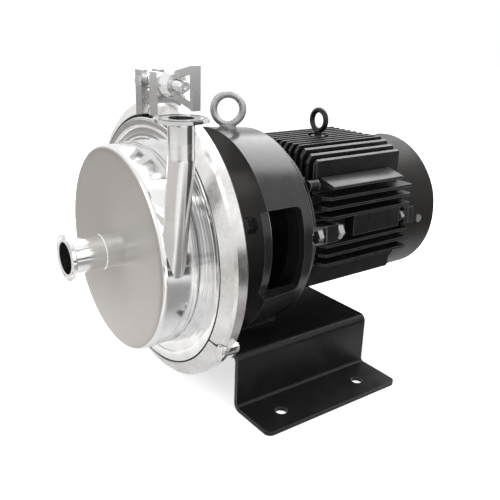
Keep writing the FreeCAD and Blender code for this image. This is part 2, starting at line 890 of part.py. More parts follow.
def vane(index):
    """One vane: a slice of a tube whose centre lies on a circle about the shaft."""
    reach = s.vane_arc_centre
    arc = s.vane_arc_radius

    def arc_angle(radius):
        squares = reach * reach + arc * arc - radius * radius
        return arc_cosine(squares / (2 * reach * arc))

    start = arc_angle(s.vane_inner_radius)
    sweep = arc_angle(s.impeller_radius) - start
    height = s.vane_height + s.shroud_thickness / 2
    turn = formula(FULL_TURN * index) / s.vane_count
    centre = (reach * cosine(turn), shroud_front + s.shroud_thickness / 2, reach * sine(turn))
    solid = doc.addObject("Part::Cylinder", "vane_arc_%d" % index)
    bind(solid, Radius=arc, Height=height, Angle=sweep)
    core = doc.addObject("Part::Cylinder", "vane_core_%d" % index)
    bind(core, Radius=arc - s.vane_thickness, Height=height)
    for item in (solid, core):
        place(item, centre, (("X", QUARTER_TURN), ("Z", turn + HALF_TURN + start)))
    return cut("vane_%d" % index, solid, core)


def make_impeller():
    front = shroud_front - s.impeller_fairing
    corners = [(hub_front, s.impeller_seat_radius), (hub_front, s.impeller_hub_radius)]
    corners += [(front, s.impeller_hub_radius + s.impeller_fairing_tip)]
    corners += [(shroud_front, s.impeller_hub_radius + s.impeller_fairing)]
    corners += [(shroud_front, s.impeller_radius), (shroud_rear, s.impeller_radius)]
    corners += [(shroud_rear, s.impeller_rear_radius), (hub_rear, s.impeller_rear_radius)]
    corners += [(hub_rear, s.impeller_seat_radius)]
    wheel = turned("impeller_wheel", corners)
    vanes = [vane(index) for index in range(count(s.vane_count))]
    node("impeller", fuse("impeller", [wheel] + vanes))


make_impeller()

thread_tip = hub_front - s.shaft_thread_length
nut_tip = hub_front - s.nut_length
node("impeller_nut", turned("impeller_nut", [
    (nut_tip, 0), (nut_tip, s.nut_tip_radius), (nut_tip + s.nut_nose_length, s.nut_radius - s.nut_nose_drop),
    (hub_front - s.nut_skirt, s.nut_radius), (hub_front, s.nut_radius), (hub_front, s.shaft_thread_radius),
    (thread_tip, s.shaft_thread_radius), (thread_tip, 0)]))

# The pump shaft slips over the motor shaft; a key and two set screws carry the drive.
keyway_top = s.motor_shaft_radius - s.key_depth + s.key_height
stub_end = motor_shaft_front - s.stub_reach
sleeve_end = motor_shaft_front + s.sleeve_grip
key_start = motor_shaft_front + s.key_inset
key_end = key_start + s.key_length
set_screw_along = motor_shaft_front + s.set_screw_place
set_screw_foot = s.set_screw_sink - s.sleeve_radius


key_half = s.key_width / 2


def make_pump_shaft():
    corners = [(thread_tip, 0), (thread_tip, s.shaft_thread_radius), (hub_front, s.shaft_thread_radius)]
    corners += [(hub_front, s.impeller_seat_radius), (hub_rear, s.impeller_seat_radius)]
    corners += [(hub_rear, s.stub_radius), (stub_end, s.stub_radius)]
    corners += [(stub_end, s.sleeve_radius - s.sleeve_chamfer)]
    corners += [(stub_end + s.sleeve_chamfer, s.sleeve_radius), (sleeve_end, s.sleeve_radius)]
    corners += [(sleeve_end, s.motor_shaft_radius), (motor_shaft_front, s.motor_shaft_radius)]
    corners += [(motor_shaft_front, 0)]
    body = turned("pump_shaft", corners)
    slot = [(-key_half, 0), (key_half, 0), (key_half, keyway_top), (-key_half, keyway_top)]
    prism(body, Y_NORMAL, key_start, sleeve_end, [slot], cut=True)
    hole = [(0, set_screw_along, s.set_screw_radius)]
    prism(body, Z_NORMAL, -s.sleeve_radius, -s.motor_shaft_radius + s.seal_film, circles=hole, cut=True)
    node("pump_shaft", body)


make_pump_shaft()

node("shaft_key", box("shaft_key", (-key_half, key_half), (key_start, key_end),
                      (keyway_top - s.key_height, keyway_top)))
place(nodes["shaft_key"], (-key_half, key_start, s.shaft_height + keyway_top - s.key_height))
set_screw = cylinder("set_screw", s.set_screw_radius, set_screw_foot, -s.motor_shaft_radius, "Z",
                     0, set_screw_along)
node("shaft_set_screw", set_screw)
place(set_screw, (0, set_screw_along, s.shaft_height + set_screw_foot))

# The clamp ring: three segments of one section that grips both flange tapers.
lip_radius = neck_radius + s.clamp_lip_gap
clamp_radius = s.flange_radius + s.clamp_wall
clamp_edge = clamp_radius - s.clamp_edge_drop
groove_radius = s.flange_radius + 2 * s.running_gap
taper_rise = s.flange_lip
taper_run = s.flange_taper_half - s.flange_edge_half
lip_root_half = s.flange_taper_half + s.running_gap - s.clamp_lip_gap * taper_run / taper_rise
groove_half = s.flange_edge_half + s.running_gap - (groove_radius - s.flange_radius) * taper_run / taper_rise
hinge_radius = clamp_radius - s.hinge_inset
latch_height = clamp_radius + s.latch_rise


def about_joint(corners):
    """Mirror half a section, given as (half width, radius), about the joint plane."""
    front = [(s.joint_plane - half, radius) for half, radius in corners]
    rear = [(s.joint_plane + half, radius) for half, radius in reversed(corners)]
    return front + rear


def clamp_ring(name, middle, span):
    outer = [(s.flange_half_width, lip_radius), (s.clamp_edge_half, clamp_edge)]
    outer += [(s.clamp_rim_half, clamp_radius)]
    inner = [(lip_root_half, lip_radius), (groove_half, groove_radius)]
    return turned(name, about_joint(outer) + list(reversed(about_joint(inner))), middle, span)


flange_room = turned("flange_room", about_joint([
    (s.flange_half_width * 2, 0), (s.flange_half_width * 2, lip_radius), (lip_root_half, lip_radius),
    (groove_half, groove_radius)]))


def hinge_cylinder(name, angle, radius, start, end):
    return cylinder(name, radius, start, end, "Y", hinge_radius * cosine(angle), hinge_radius * sine(angle))


def hinge_leaf(name, angle, way, start, end):
    """A knuckle on the hinge line with the web that runs from it along the ring."""
    knuckle = hinge_cylinder(name + "_knuckle", angle, s.hinge_knuckle, start, end)
    web = doc.addObject("Part::Box", name + "_web")
    thickness = (s.hinge_knuckle - s.hinge_web_inset) * 2
    bind(web, Length=thickness, Width=formula(end) - start, Height=s.hinge_web)
    inside = hinge_radius - s.hinge_knuckle + s.hinge_web_inset
    back = 0 if way > 0 else -s.hinge_web
    x = inside * cosine(angle) - back * sine(angle)
    z = inside * sine(angle) + back * cosine(angle)
    place(web, (x, start, z), (("Y", -formula(angle)),))
    return [knuckle, web]


ear_front = s.joint_plane - s.hinge_ear_place - s.hinge_ear
tongue_half = s.hinge_ear_place - s.running_gap
hinge_clear = s.hinge_knuckle + s.hinge_knuckle_gap
ear_rear = s.joint_plane + s.hinge_ear_place + s.hinge_ear
hinge_bands = ((ear_front, s.joint_plane - s.hinge_ear_place), (s.joint_plane + s.hinge_ear_place, ear_rear))


def swinging_ring(name, way):
    span = QUARTER_TURN + s.hinge_angle - s.hinge_end_gap
    return clamp_ring(name + "_ring", QUARTER_TURN - way * span / 2, span)


def swinging_segment(name, angle, way, ring, ring_tools):
    """A swinging third of the ring: its tongue turns between the fixed segment's ears."""
    tongue = hinge_leaf(name + "_tongue", angle, way, s.joint_plane - tongue_half, s.joint_plane + tongue_half)
    solid = fuse(name + "_solid", [ring] + tongue)
    far = s.flange_half_width * 2
    tools = [hinge_cylinder(name + "_pin_hole", angle, s.hinge_pin_radius + s.pin_play,
                            s.joint_plane - far, s.joint_plane + far)]
    for band, (start, end) in enumerate(hinge_bands):
        low = s.joint_plane - far if band == 0 else start - s.running_gap
        high = end + s.running_gap if band == 0 else s.joint_plane + far
        tools.append(hinge_cylinder("%s_ear_room_%d" % (name, band), angle, hinge_clear, low, high))
    node(name, cut(name, solid, fuse(name + "_tools", tools + ring_tools)))


def latch_ear(name, x, ring, tools):
    """One ear: a block down to the clamp's lip that straddles the ring, cut for the bolt."""
    block = box(name + "_block", x, (s.joint_plane - s.ear_half_width, s.joint_plane + s.ear_half_width),
                (latch_height + s.ear_rise - s.ear_drop, latch_height + s.ear_rise))
    straddle = cut(name + "_straddle", cut(name + "_open", block, flange_room), ring)
    node(name, cut(name, straddle, fuse(name + "_tools", tools)))


def ear_slot(name, x, width, drop):
    half = width / 2
    return box(name, x, (s.joint_plane - half, s.joint_plane + half),
               (latch_height - drop, latch_height + s.ear_rise * 2))


pivot_x = -s.pivot_place
ear_over = s.left_ear_outer * 2


def make_right_segment():
    ring = swinging_ring("right", 1)
    swinging_segment("clamp_right_segment", -s.hinge_angle, 1, ring, [])
    slot = ear_slot("right_ear_slot", (-s.bolt_radius, s.right_ear_outer * 2), s.right_ear_slot,
                    s.right_ear_slot_drop)
    far = s.flange_half_width * 3
    corner = box("right_ear_corner", (s.right_ear_outer / 2, s.right_ear_outer * 2),
                 (s.joint_plane - s.flange_half_width * 2, s.joint_plane + s.flange_half_width * 2),
                 (latch_height, latch_height + s.ear_rise * 2))
    keep = cylinder("right_ear_swing", s.pivot_place + s.right_ear_outer, s.joint_plane - far,
                    s.joint_plane + far, "Y", pivot_x, latch_height)
    rounding = cut("right_ear_rounding", corner, keep)
    latch_ear("latch_ear_right", (0, s.right_ear_outer), ring, [slot, rounding])


def make_left_segment():
    ring = swinging_ring("left", -1)
    reach = s.ear_half_width * 2
    gap = box("left_ring_gap", (-s.left_ear_inner, s.left_ear_outer),
              (s.joint_plane - reach, s.joint_plane + reach), (0, latch_height + s.ear_rise * 2))
    swinging_segment("clamp_left_segment", HALF_TURN + s.hinge_angle, -1, ring, [gap])
    slot = ear_slot("left_ear_slot", (-ear_over, s.bolt_radius), s.left_ear_slot, s.left_ear_slot_drop)
    pivot = cylinder("left_ear_pivot_hole", s.pivot_radius, s.joint_plane - reach, s.joint_plane + reach, "Y",
                     pivot_x, latch_height)
    latch_ear("latch_ear_left", (-s.left_ear_outer, -s.left_ear_inner), ring, [slot, pivot])


def make_bottom_segment():
    span = HALF_TURN - 2 * s.hinge_angle - 2 * s.hinge_end_gap
    shapes = [clamp_ring("bottom_ring", HALF_TURN + QUARTER_TURN, span)]
    tools = []
    far = s.flange_half_width * 2
    head_room = s.hinge_head_radius + s.head_clearance
    for side, angle, way in (("right", -s.hinge_angle, -1), ("left", HALF_TURN + s.hinge_angle, 1)):
        for band, (start, end) in enumerate(hinge_bands):
            shapes += hinge_leaf("bottom_%s_ear_%d" % (side, band), angle, way, start, end)
        tools.append(hinge_cylinder("bottom_%s_pin_hole" % side, angle, s.hinge_pin_radius,
                                    s.joint_plane - far, s.joint_plane + far))
        tools.append(hinge_cylinder("bottom_%s_tongue_room" % side, angle, hinge_clear,
                                    s.joint_plane - s.hinge_ear_place, s.joint_plane + s.hinge_ear_place))
        tools.append(hinge_cylinder("bottom_%s_front_room" % side, angle, head_room, s.joint_plane - far,
                                    ear_front))
        tools.append(hinge_cylinder("bottom_%s_rear_room" % side, angle, head_room, ear_rear,
                                    s.joint_plane + far))
    solid = fuse("bottom_solid", shapes)
    node("clamp_bottom_segment", cut("clamp_bottom_segment", solid, fuse("bottom_tools", tools)))


def make_hinge_pin(name, angle):
    shank = hinge_cylinder(name + "_shank", angle, s.hinge_pin_radius, ear_front, ear_rear)
    front = hinge_cylinder(name + "_front", angle, s.hinge_head_radius, ear_front - s.hinge_head, ear_front)
    rear = hinge_cylinder(name + "_rear", angle, s.hinge_head_radius, ear_rear, ear_rear + s.hinge_head)
    node(name, fuse(name, [shank, front, rear]))


make_right_segment()
make_left_segment()
make_bottom_segment()
make_hinge_pin("hinge_pin_right", -s.hinge_angle)
make_hinge_pin("hinge_pin_left", HALF_TURN + s.hinge_angle)


def make_swing_bolt():
    """Its thread is a plain core at the thread's root; the nut's bore clears the thread's crests."""
    half = s.bolt_eye_width / 2
    eye = cylinder("bolt_eye", s.bolt_eye_radius, s.joint_plane - half, s.joint_plane + half, "Y",
                   pivot_x, latch_height)
    shank = cylinder("bolt_shank", s.bolt_radius, pivot_x, s.right_ear_outer, "X",
                     s.joint_plane, latch_height)
    thread_root = cylinder("bolt_thread_root", s.bolt_radius - s.bolt_thread_depth, 0, s.bolt_end, "X",
                           s.joint_plane, latch_height)
    hole = cylinder("bolt_eye_hole", s.pivot_radius + s.pin_play, s.joint_plane - s.ear_half_width,
                    s.joint_plane + s.ear_half_width, "Y", pivot_x, latch_height)
    recess = cylinder("bolt_recess", s.bolt_recess_radius, s.bolt_end - s.bolt_recess_depth,
                      s.bolt_end + s.bolt_recess_depth, "X", s.joint_plane, latch_height)
    solid = fuse("bolt_solid", [eye, shank, thread_root])
    node("swing_bolt", cut("swing_bolt", solid, fuse("bolt_tools", [hole, recess])))


def make_pivot_pin():
    start = s.joint_plane - s.ear_half_width
    end = s.joint_plane + s.ear_half_width
    shank = cylinder("pivot_shank", s.pivot_radius, start, end, "Y", pivot_x, latch_height)
    front = cylinder("pivot_front", s.pivot_head_radius, start - s.pivot_head, start, "Y",
                     pivot_x, latch_height)
    rear = cylinder("pivot_rear", s.pivot_head_radius, end, end + s.pivot_head, "Y", pivot_x, latch_height)
    node("swing_bolt_pin", fuse("swing_bolt_pin", [shank, front, rear]))


washer_start = s.right_ear_outer + s.running_gap
washer_end = washer_start + s.washer_thickness
nut_start = washer_end + s.seal_film
thread_hole = s.bolt_radius + s.pin_play


def make_washer():
    disc = cylinder("washer_disc", s.washer_radius, washer_start, washer_end, "X",
                    s.joint_plane, latch_height)
    hole = cylinder("washer_hole", thread_hole, 0, s.bolt_end, "X", s.joint_plane, latch_height)
    node("clamp_washer", cut("clamp_washer", disc, hole))


def make_wing_nut():
    """The hub is turned about X; the wing is a flat plate with a window and an outer bar."""
    hub_end = nut_start + s.nut_hub_length
    base = cylinder("nut_base", s.nut_hub_radius, nut_start, nut_start + s.nut_hub_step, "X",
                    s.joint_plane, latch_height)
    cone = doc.addObject("Part::Cone", "nut_cone")
    bind(cone, Radius1=s.nut_hub_radius, Radius2=s.nut_hub_front_radius)
    bind(cone, Height=s.nut_hub_length - s.nut_hub_step)
    place(cone, (nut_start + s.nut_hub_step, s.joint_plane, latch_height), (("Y", QUARTER_TURN),))
    hub = fuse("nut_hub_solid", [base, cone])
    bore = cylinder("nut_bore", thread_hole, 0, hub_end + OVERCUT, "X", s.joint_plane, latch_height)
    node("wing_nut_hub", cut("wing_nut_hub", hub, bore))
    wing = new_body("nut_wing")
    half = s.wing_thickness / 2
    levels = (s.joint_plane - half, s.joint_plane + half)
    prism(wing, Y_NORMAL, *levels, [wing_outline(s.wing_start, s.wing_end, s.wing_root_half, s.wing_tip_half)])
    opening = wing_outline(s.window_start, s.window_end, s.window_root_half, s.window_tip_half)
    prism(wing, Y_NORMAL, *levels, [opening], cut=True)
    bar_half = s.wing_bar_width / 2
    bar = box("nut_bar", (s.wing_end, s.wing_end + s.wing_bar),
              (s.joint_plane - bar_half, s.joint_plane + bar_half),
              (latch_height - s.wing_tip_half, latch_height + s.wing_tip_half))
    room = thread_hole + s.running_gap
    relief = box("nut_relief", (0, s.window_start + s.nut_relief_reach),
                 (s.joint_plane - s.wing_thickness, s.joint_plane + s.wing_thickness),
                 (latch_height - room, latch_height + room))
    node("wing_nut", cut("wing_nut", fuse("nut_plate", [wing, bar]), fuse("nut_tools", [hub, relief])))


def wing_outline(root, tip, root_half, tip_half):
    """A plate that widens from its root to its tip, drawn in X and Z."""
    return [(root, latch_height - root_half), (tip, latch_height - tip_half), (tip, latch_height + tip_half),
            (root, latch_height + root_half)]


make_swing_bolt()
make_pivot_pin()
make_washer()
make_wing_nut()

# The seal carrier passes through the lantern's front wall and holds the back plate.
wall_rear = lantern_front + s.lantern_front_wall
carrier_rear = wall_rear + s.carrier_flange


def make_carrier():
    corners = [(back_face, s.carrier_bore), (back_face, s.carrier_radius), (wall_rear, s.carrier_radius)]
    corners += [(wall_rear, s.carrier_flange_radius), (carrier_rear, s.carrier_flange_radius)]
    corners += [(carrier_rear, s.carrier_bore)]
    body = turned("seal_carrier", corners)
    clear = s.carrier_screw_radius + s.screw_clearance
    through = [(x, z, clear) for x, z in on_circle(s.carrier_screw_circle, EIGHTH_TURN)]
    prism(body, Y_NORMAL, back_face, carrier_rear, circles=through, cut=True)
    tapped = [(x, z, s.lantern_screw_radius)
              for x, z in on_circle(s.lantern_screw_circle, s.lantern_screw_angle)]
    prism(body, Y_NORMAL, wall_rear, carrier_rear, circles=tapped, cut=True)
    node("seal_carrier", body)


def socket_screw(name, at, length, turns):
    head = cylinder(name + "_head", s.socket_head_radius, 0, s.socket_head, "Z")
    shank = cylinder(name + "_shank", s.carrier_screw_radius, -length, 0, "Z")
    recess = doc.addObject("Part::Prism", name + "_socket")
    recess.Polygon = 6
    bind(recess, Circumradius=s.socket_flats / root(3), Height=s.socket_depth * 2)
    place(recess, (0, 0, s.socket_head - s.socket_depth))
    return place(cut(name, fuse(name + "_solid", [head, shank]), recess), at, turns)


make_carrier()
carrier_screw_length = carrier_rear - back_face + s.carrier_screw_depth
group("back_plate_screws", [
    socket_screw("back_plate_screw_%d" % index, (x, carrier_rear, z), carrier_screw_length,
                 (("X", -QUARTER_TURN),))
    for index, (x, z) in enumerate(on_circle(s.carrier_screw_circle, EIGHTH_TURN))])

# The lantern: a short drum with a side window on either hand and a flat foot.
bore_radius = s.lantern_radius - s.lantern_wall
ring_front = lantern_rear - s.lantern_rear_ring
window_rear = lantern_rear - s.window_inset
eye_place = lantern_front + s.eye_inset
eye_base = s.lantern_radius + s.eye_boss_rise
foot_bolt_front = lantern_front + s.foot_bolt_inset
foot_bolt_places = [(side * s.foot_bolt_offset, foot_bolt_front + step * s.foot_bolt_pitch)
                    for side in (-1, 1) for step in (0, 1)]


def lantern_window(name, middle):
    """A window cut through the wall from the front edge, with rounded rear corners."""
    span = s.window_high_angle - s.window_low_angle
    outside = s.lantern_radius + s.lantern_wall
    corners = [(lantern_front - OVERCUT, bore_radius), (lantern_front - OVERCUT, outside)]
    corners += [(window_rear, outside), (window_rear, bore_radius)]
    tool = turned(name, corners, middle, span)
    middle_radius = (bore_radius + outside) / 2
    ends = [(middle_radius * sine(way * span / 2), window_rear, middle_radius * cosine(span / 2))
            for way in (-1, 1)]
    dress(tool, "Fillet", edge_names(tool.Group[-1], ends), Radius=s.window_corner)
    return tool


def make_lantern():
    corners = [(lantern_front, s.carrier_radius), (lantern_front, s.lantern_radius + s.lantern_flare)]
    corners += [(lantern_rear, s.lantern_radius), (lantern_rear, s.lantern_spigot_radius)]
    corners += [(ring_front, s.lantern_spigot_radius), (ring_front, bore_radius), (wall_rear, bore_radius)]
    corners += [(wall_rear, s.carrier_radius)]
    drum = turned("lantern_drum", corners)
    foot = box("lantern_foot", (-s.foot_half_width, s.foot_half_width), (lantern_front, lantern_rear),
               (foot_plane, foot_plane + s.foot_thickness))
    boss = cylinder("lantern_boss", s.eye_boss_radius, bore_radius, eye_base, "Z", 0, eye_place)
    solid = fuse("lantern_solid", [drum, foot, boss])
    middle = (s.window_low_angle + s.window_high_angle) / 2
    side = s.lantern_radius * 2
    tools = [lantern_window("window_right", middle), lantern_window("window_left", HALF_TURN - middle)]
    tools.append(box("foot_trim", (-side, side), (lantern_front - OVERCUT, lantern_rear + OVERCUT),
                     (-side, foot_plane)))
    tools.append(cylinder("carrier_room", s.carrier_flange_radius + s.running_gap, wall_rear,
                          carrier_rear + s.running_gap, "Y"))
    tools.append(cylinder("eye_thread", s.eye_shank_radius, eye_base - s.eye_shank, eye_base + OVERCUT, "Z",
                          0, eye_place))
    tools.append(cylinder("eye_seat", s.eye_boss_radius, eye_base, eye_base + s.lantern_flare, "Z",
                          0, eye_place))
    clear = s.lantern_screw_radius + s.screw_clearance
    for index, (x, z) in enumerate(on_circle(s.lantern_screw_circle, s.lantern_screw_angle)):
        tools.append(cylinder("wall_hole_%d" % index, clear, lantern_front - OVERCUT, wall_rear + OVERCUT, "Y",
                              x, z))
    clear = s.flange_bolt_radius + s.screw_clearance
    for index, (x, z) in enumerate(on_circle(s.flange_bolt_circle, EIGHTH_TURN)):
        tools.append(cylinder("ring_hole_%d" % index, clear, ring_front - OVERCUT, lantern_rear + OVERCUT, "Y",
                              x, z))
    for index, (x, y) in enumerate(foot_bolt_places):
        tools.append(cylinder("foot_hole_%d" % index, s.foot_bolt_radius, foot_plane - OVERCUT,
                              foot_plane + s.foot_bolt_grip, "Z", x, y))
    node("lantern", cut("lantern", solid, fuse("lantern_tools", tools)))


make_lantern()
group("lantern_screws", [
    hex_screw("lantern_screw_%d" % index, s.lantern_screw_radius, carrier_rear - lantern_front,
              s.lantern_screw_flats, s.lantern_screw_head, (x, lantern_front, z), (("X", QUARTER_TURN),))
    for index, (x, z) in enumerate(on_circle(s.lantern_screw_circle, s.lantern_screw_angle))])
group("lantern_foot_bolts", [
    hex_screw("lantern_foot_bolt_%d" % index, s.foot_bolt_radius, s.foot_bolt_grip + s.bracket_plate,
              s.foot_bolt_flats, s.foot_bolt_head, (x, y, foot_plane - s.bracket_plate), (("X", HALF_TURN),))
    for index, (x, y) in enumerate(foot_bolt_places)])


def eye_bolt(name, base, place_along, ring, wire, lift, collar_radius, collar, neck, shank_radius, shank,
             turn):
    """A lifting eye: a ring over a collar, with a threaded shank below."""
    torus = bind(doc.addObject("Part::Torus", name + "_ring"), Radius1=ring, Radius2=wire)
    place(torus, (0, place_along, base + lift), (("Z", turn), ("X", QUARTER_TURN)))
    disc = cylinder(name + "_collar", collar_radius, base, base + collar, "Z", 0, place_along)
    stem = cylinder(name + "_neck", neck, base, base + lift - ring, "Z", 0, place_along)
    thread = cylinder(name + "_shank", shank_radius, base - shank, base, "Z", 0, place_along)
    node(name, fuse(name, [torus, disc, stem, thread]))


eye_bolt("lifting_eye_bolt", eye_base, eye_place, s.eye_ring_radius, s.eye_wire_radius, s.eye_lift,
         s.eye_collar_radius, s.eye_collar, s.eye_wire_radius, s.eye_shank_radius, s.eye_shank, s.eye_angle)


# The foot bracket: one plate bent into a hat, with four floor holes.
def make_bracket():
    body = new_body("foot_bracket")
    front = lantern_front - s.bracket_lead
    end = front + s.bracket_length
    top = s.shaft_height - s.foot_drop
    inner = s.bracket_web - s.bracket_plate
    under = top - s.bracket_plate
    right = [(inner, under), (inner, 0), (s.bracket_edge, 0), (s.bracket_edge, s.bracket_plate)]
    right += [(s.bracket_web, s.bracket_plate), (s.bracket_web, top)]
    left = [(-x, z) for x, z in reversed(right)]
    prism(body, Y_NORMAL, front, end, [right + left])
    middle = front + s.bracket_length / 2
    tight = [(side * x, middle, z) for side in (-1, 1)
             for x, z in ((inner, under), (s.bracket_web, s.bracket_plate))]
    wide = [(side * x, middle, z) for side in (-1, 1) for x, z in ((inner, 0), (s.bracket_web, top))]
    dress(body, "Fillet", edge_names(body.Group[-1], tight), Radius=s.bracket_bend)
    dress(body, "Fillet", edge_names(body.Group[-1], wide), Radius=s.bracket_bend + s.bracket_plate)
    corners = [(side * s.bracket_edge, y, s.bracket_plate / 2) for side in (-1, 1) for y in (front, end)]
    dress(body, "Fillet", edge_names(body.Group[-1], corners), Radius=s.bracket_corner)
    first = front + s.floor_hole_front
    holes = [(side * s.floor_hole_x, y, s.floor_hole_radius) for side in (-1, 1)
             for y in (first, first + s.floor_hole_pitch)]
    prism(body, Z_NORMAL, 0, s.bracket_plate, circles=holes, cut=True)
    bolts = [(x, y, s.foot_bolt_radius + s.screw_clearance) for x, y in foot_bolt_places]
    prism(body, Z_NORMAL, under, top, circles=bolts, cut=True)
    node("foot_bracket", body, lift=False)


make_bracket()

# The motor's flange shield carries the front bearing and closes the lantern.
housing_radius = s.bearing_radius + s.bearing_housing_wall
shaft_hole = s.rotor_shaft_radius + s.shaft_hole_gap
lug_angles = [s.lug_angle + FULL_TURN / count(s.lug_count) * step for step in range(count(s.lug_count))]
lug_places = on_circle(s.lug_circle, s.lug_angle, count(s.lug_count))
tie_seat = frame_front - s.lug_seat
tie_clear = s.tie_bolt_radius + s.screw_clearance
tie_room = s.tie_bolt_flats / root(3) + s.head_clearance


def lug(name, angle, circle, start, end):
    """A bolt lug: a block that stands out from the round body along a radius."""
    half = s.lug_width / 2
    inside = s.frame_radius - s.lug_root
    item = doc.addObject("Part::Box", name)
    bind(item, Length=circle + s.lug_reach - inside, Width=formula(end) - start, Height=s.lug_width)
    x = inside * cosine(angle) + half * sine(angle)
    z = inside * sine(angle) - half * cosine(angle)
    return place(item, (x, start, z), (("Y", -formula(angle)),))


def make_flange_shield():
    register_end = frame_front + s.shield_register
    web_rear = motor_face + s.motor_spigot
    web_front = motor_face - s.motor_spigot
    corners = [(web_front, shaft_hole), (web_front, s.lantern_spigot_radius)]
    corners += [(motor_face, s.lantern_spigot_radius), (motor_face, s.motor_flange_radius)]
    corners += [(flange_rear, s.motor_flange_radius), (flange_rear, s.shield_rim_radius)]
    corners += [(rim_rear, s.shield_rim_radius), (rim_rear, s.shield_shoulder_radius)]
    corners += [(frame_front, s.shield_shoulder_radius - s.shield_shoulder_round)]
    corners += [(frame_front, s.frame_bore)]
    corners += [(register_end, s.frame_bore), (register_end, s.frame_bore - s.shield_web)]
    corners += [(web_rear, s.frame_bore - s.shield_web * 2), (web_rear, housing_radius)]
    corners += [(bearing_front_end, housing_radius), (bearing_front_end, s.bearing_radius)]
    corners += [(bearing_front, s.bearing_radius), (bearing_front, shaft_hole)]
    disc = turned("shield_disc", corners)
    lugs = [lug("shield_lug_%d" % index, angle, s.lug_circle, flange_rear, frame_front)
            for index, angle in enumerate(lug_angles)]
    boss = cylinder("shield_boss", s.shield_boss_radius, rim_rear, rim_rear + s.shield_boss_length, "Y",
                    s.shield_boss_circle * cosine(s.shield_boss_angle),
                    s.shield_boss_circle * sine(s.shield_boss_angle))
    side = s.motor_flange_radius * 2
    tools = [box("flange_flat", (-side, side), (0, flange_rear + OVERCUT),
                 (-side, foot_plane + s.flange_flat_gap))]
    for index, (x, z) in enumerate(on_circle(s.flange_bolt_circle, EIGHTH_TURN)):
        tools.append(cylinder("flange_thread_%d" % index, s.flange_bolt_radius, motor_face - OVERCUT,
                              motor_face + s.flange_bolt_bite, "Y", x, z))
    for index, (x, z) in enumerate(lug_places):
        tools.append(cylinder("tie_head_room_%d" % index, tie_room, motor_face - OVERCUT, tie_seat, "Y",
                              x, z))
        tools.append(cylinder("shield_tie_hole_%d" % index, tie_clear, tie_seat - OVERCUT,
                              frame_front + OVERCUT, "Y", x, z))
    solid = fuse("shield_solid", [disc, boss] + lugs)
    node("motor_flange_shield", cut("motor_flange_shield", solid, fuse("shield_tools", tools)))


make_flange_shield()
group("motor_flange_bolts", [
    hex_screw("motor_flange_bolt_%d" % index, s.flange_bolt_radius, s.lantern_rear_ring + s.flange_bolt_bite,
              s.flange_bolt_flats, s.flange_bolt_head, (x, ring_front, z), (("X", QUARTER_TURN),))
    for index, (x, z) in enumerate(on_circle(s.flange_bolt_circle, EIGHTH_TURN))])


# The motor frame: a cast tube with upright fins above and below and level fins on its sides.
def frame_envelope():
    """The outer shape that all the fins end on, chamfered where the fins begin and end."""
    right = [(s.fin_shoulder_x, s.fin_top), (s.fin_corner_x, s.fin_corner_z), (s.fin_corner_x, s.ledge_top)]
    right += [(s.frame_half_width, s.ledge_top), (s.frame_half_width, -s.side_bottom)]
    right += [(s.belly_half_width, -s.belly_depth)]
    left = [(-x, z) for x, z in reversed(right)]
    body = new_body("fin_envelope")
    prism(body, Y_NORMAL, fin_front, frame_rear, [right + left])
    chamfer_face(body, fin_front, s.fin_chamfer_along, s.fin_chamfer_drop)
    chamfer_face(body, frame_rear, s.fin_rear_chamfer, s.fin_rear_chamfer)
    return body


def chamfer_face(body, level, along, drop):
    """Chamfer every edge of the end face at one level of Y."""
    doc.recompute()
    faces = body.Group[-1].Shape.Faces
    gaps = [abs(face.CenterOfMass.y - level.value) for face in faces]
    feature = dress(body, "Chamfer", ["Face%d" % (gaps.index(min(gaps)) + 1)], Size=drop, Size2=along)
    feature.ChamferType = "Two distances"


def fin_boxes():
    half = s.fin_thickness / 2
    along = (fin_front, frame_rear)
    ledge_along = (frame_front + s.ledge_front_inset, frame_rear - s.ledge_rear_inset)
    pad_along = (frame_front + s.pad_front_inset, frame_rear - s.pad_rear_inset)
    reach = s.frame_half_width
    boxes = []
    for step in range(-count(s.fin_side_count), count(s.fin_side_count) + 1):
        x = s.fin_pitch * step
        boxes.append(box("top_fin_%d" % len(boxes), (x - half, x + half), along, (s.fin_root, s.fin_top)))
        boxes.append(box("low_fin_%d" % len(boxes), (x - half, x + half), along,
                         (-s.belly_depth, -s.fin_root)))
    thick = s.side_fin_thickness / 2
    for side in (-1, 1):
        limits = (0, reach) if side > 0 else (-reach, 0)
        pad = s.pad_reach
        pad_limits = (0, pad) if side > 0 else (-pad, 0)
        for start in (s.side_fin_top, s.side_fin_low):
            for step in range(count(s.side_fin_count)):
                z = start - s.side_fin_pitch * step
                boxes.append(box("side_fin_%d" % len(boxes), limits, along, (z - thick, z + thick)))
        boxes.append(box("ledge_%d" % len(boxes), limits, ledge_along,
                         (s.ledge_top - s.ledge_thickness, s.ledge_top)))
        boxes.append(box("side_pad_%d" % len(boxes), pad_limits, pad_along, (s.pad_bottom, s.pad_top)))
    return boxes


lug_end = frame_front + s.lug_length
rear_lug_start = frame_rear - s.rear_lug_length
rear_lug_places = on_circle(s.rear_lug_circle, s.lug_angle, count(s.lug_count))
motor_eye_place = frame_front + s.motor_eye_inset


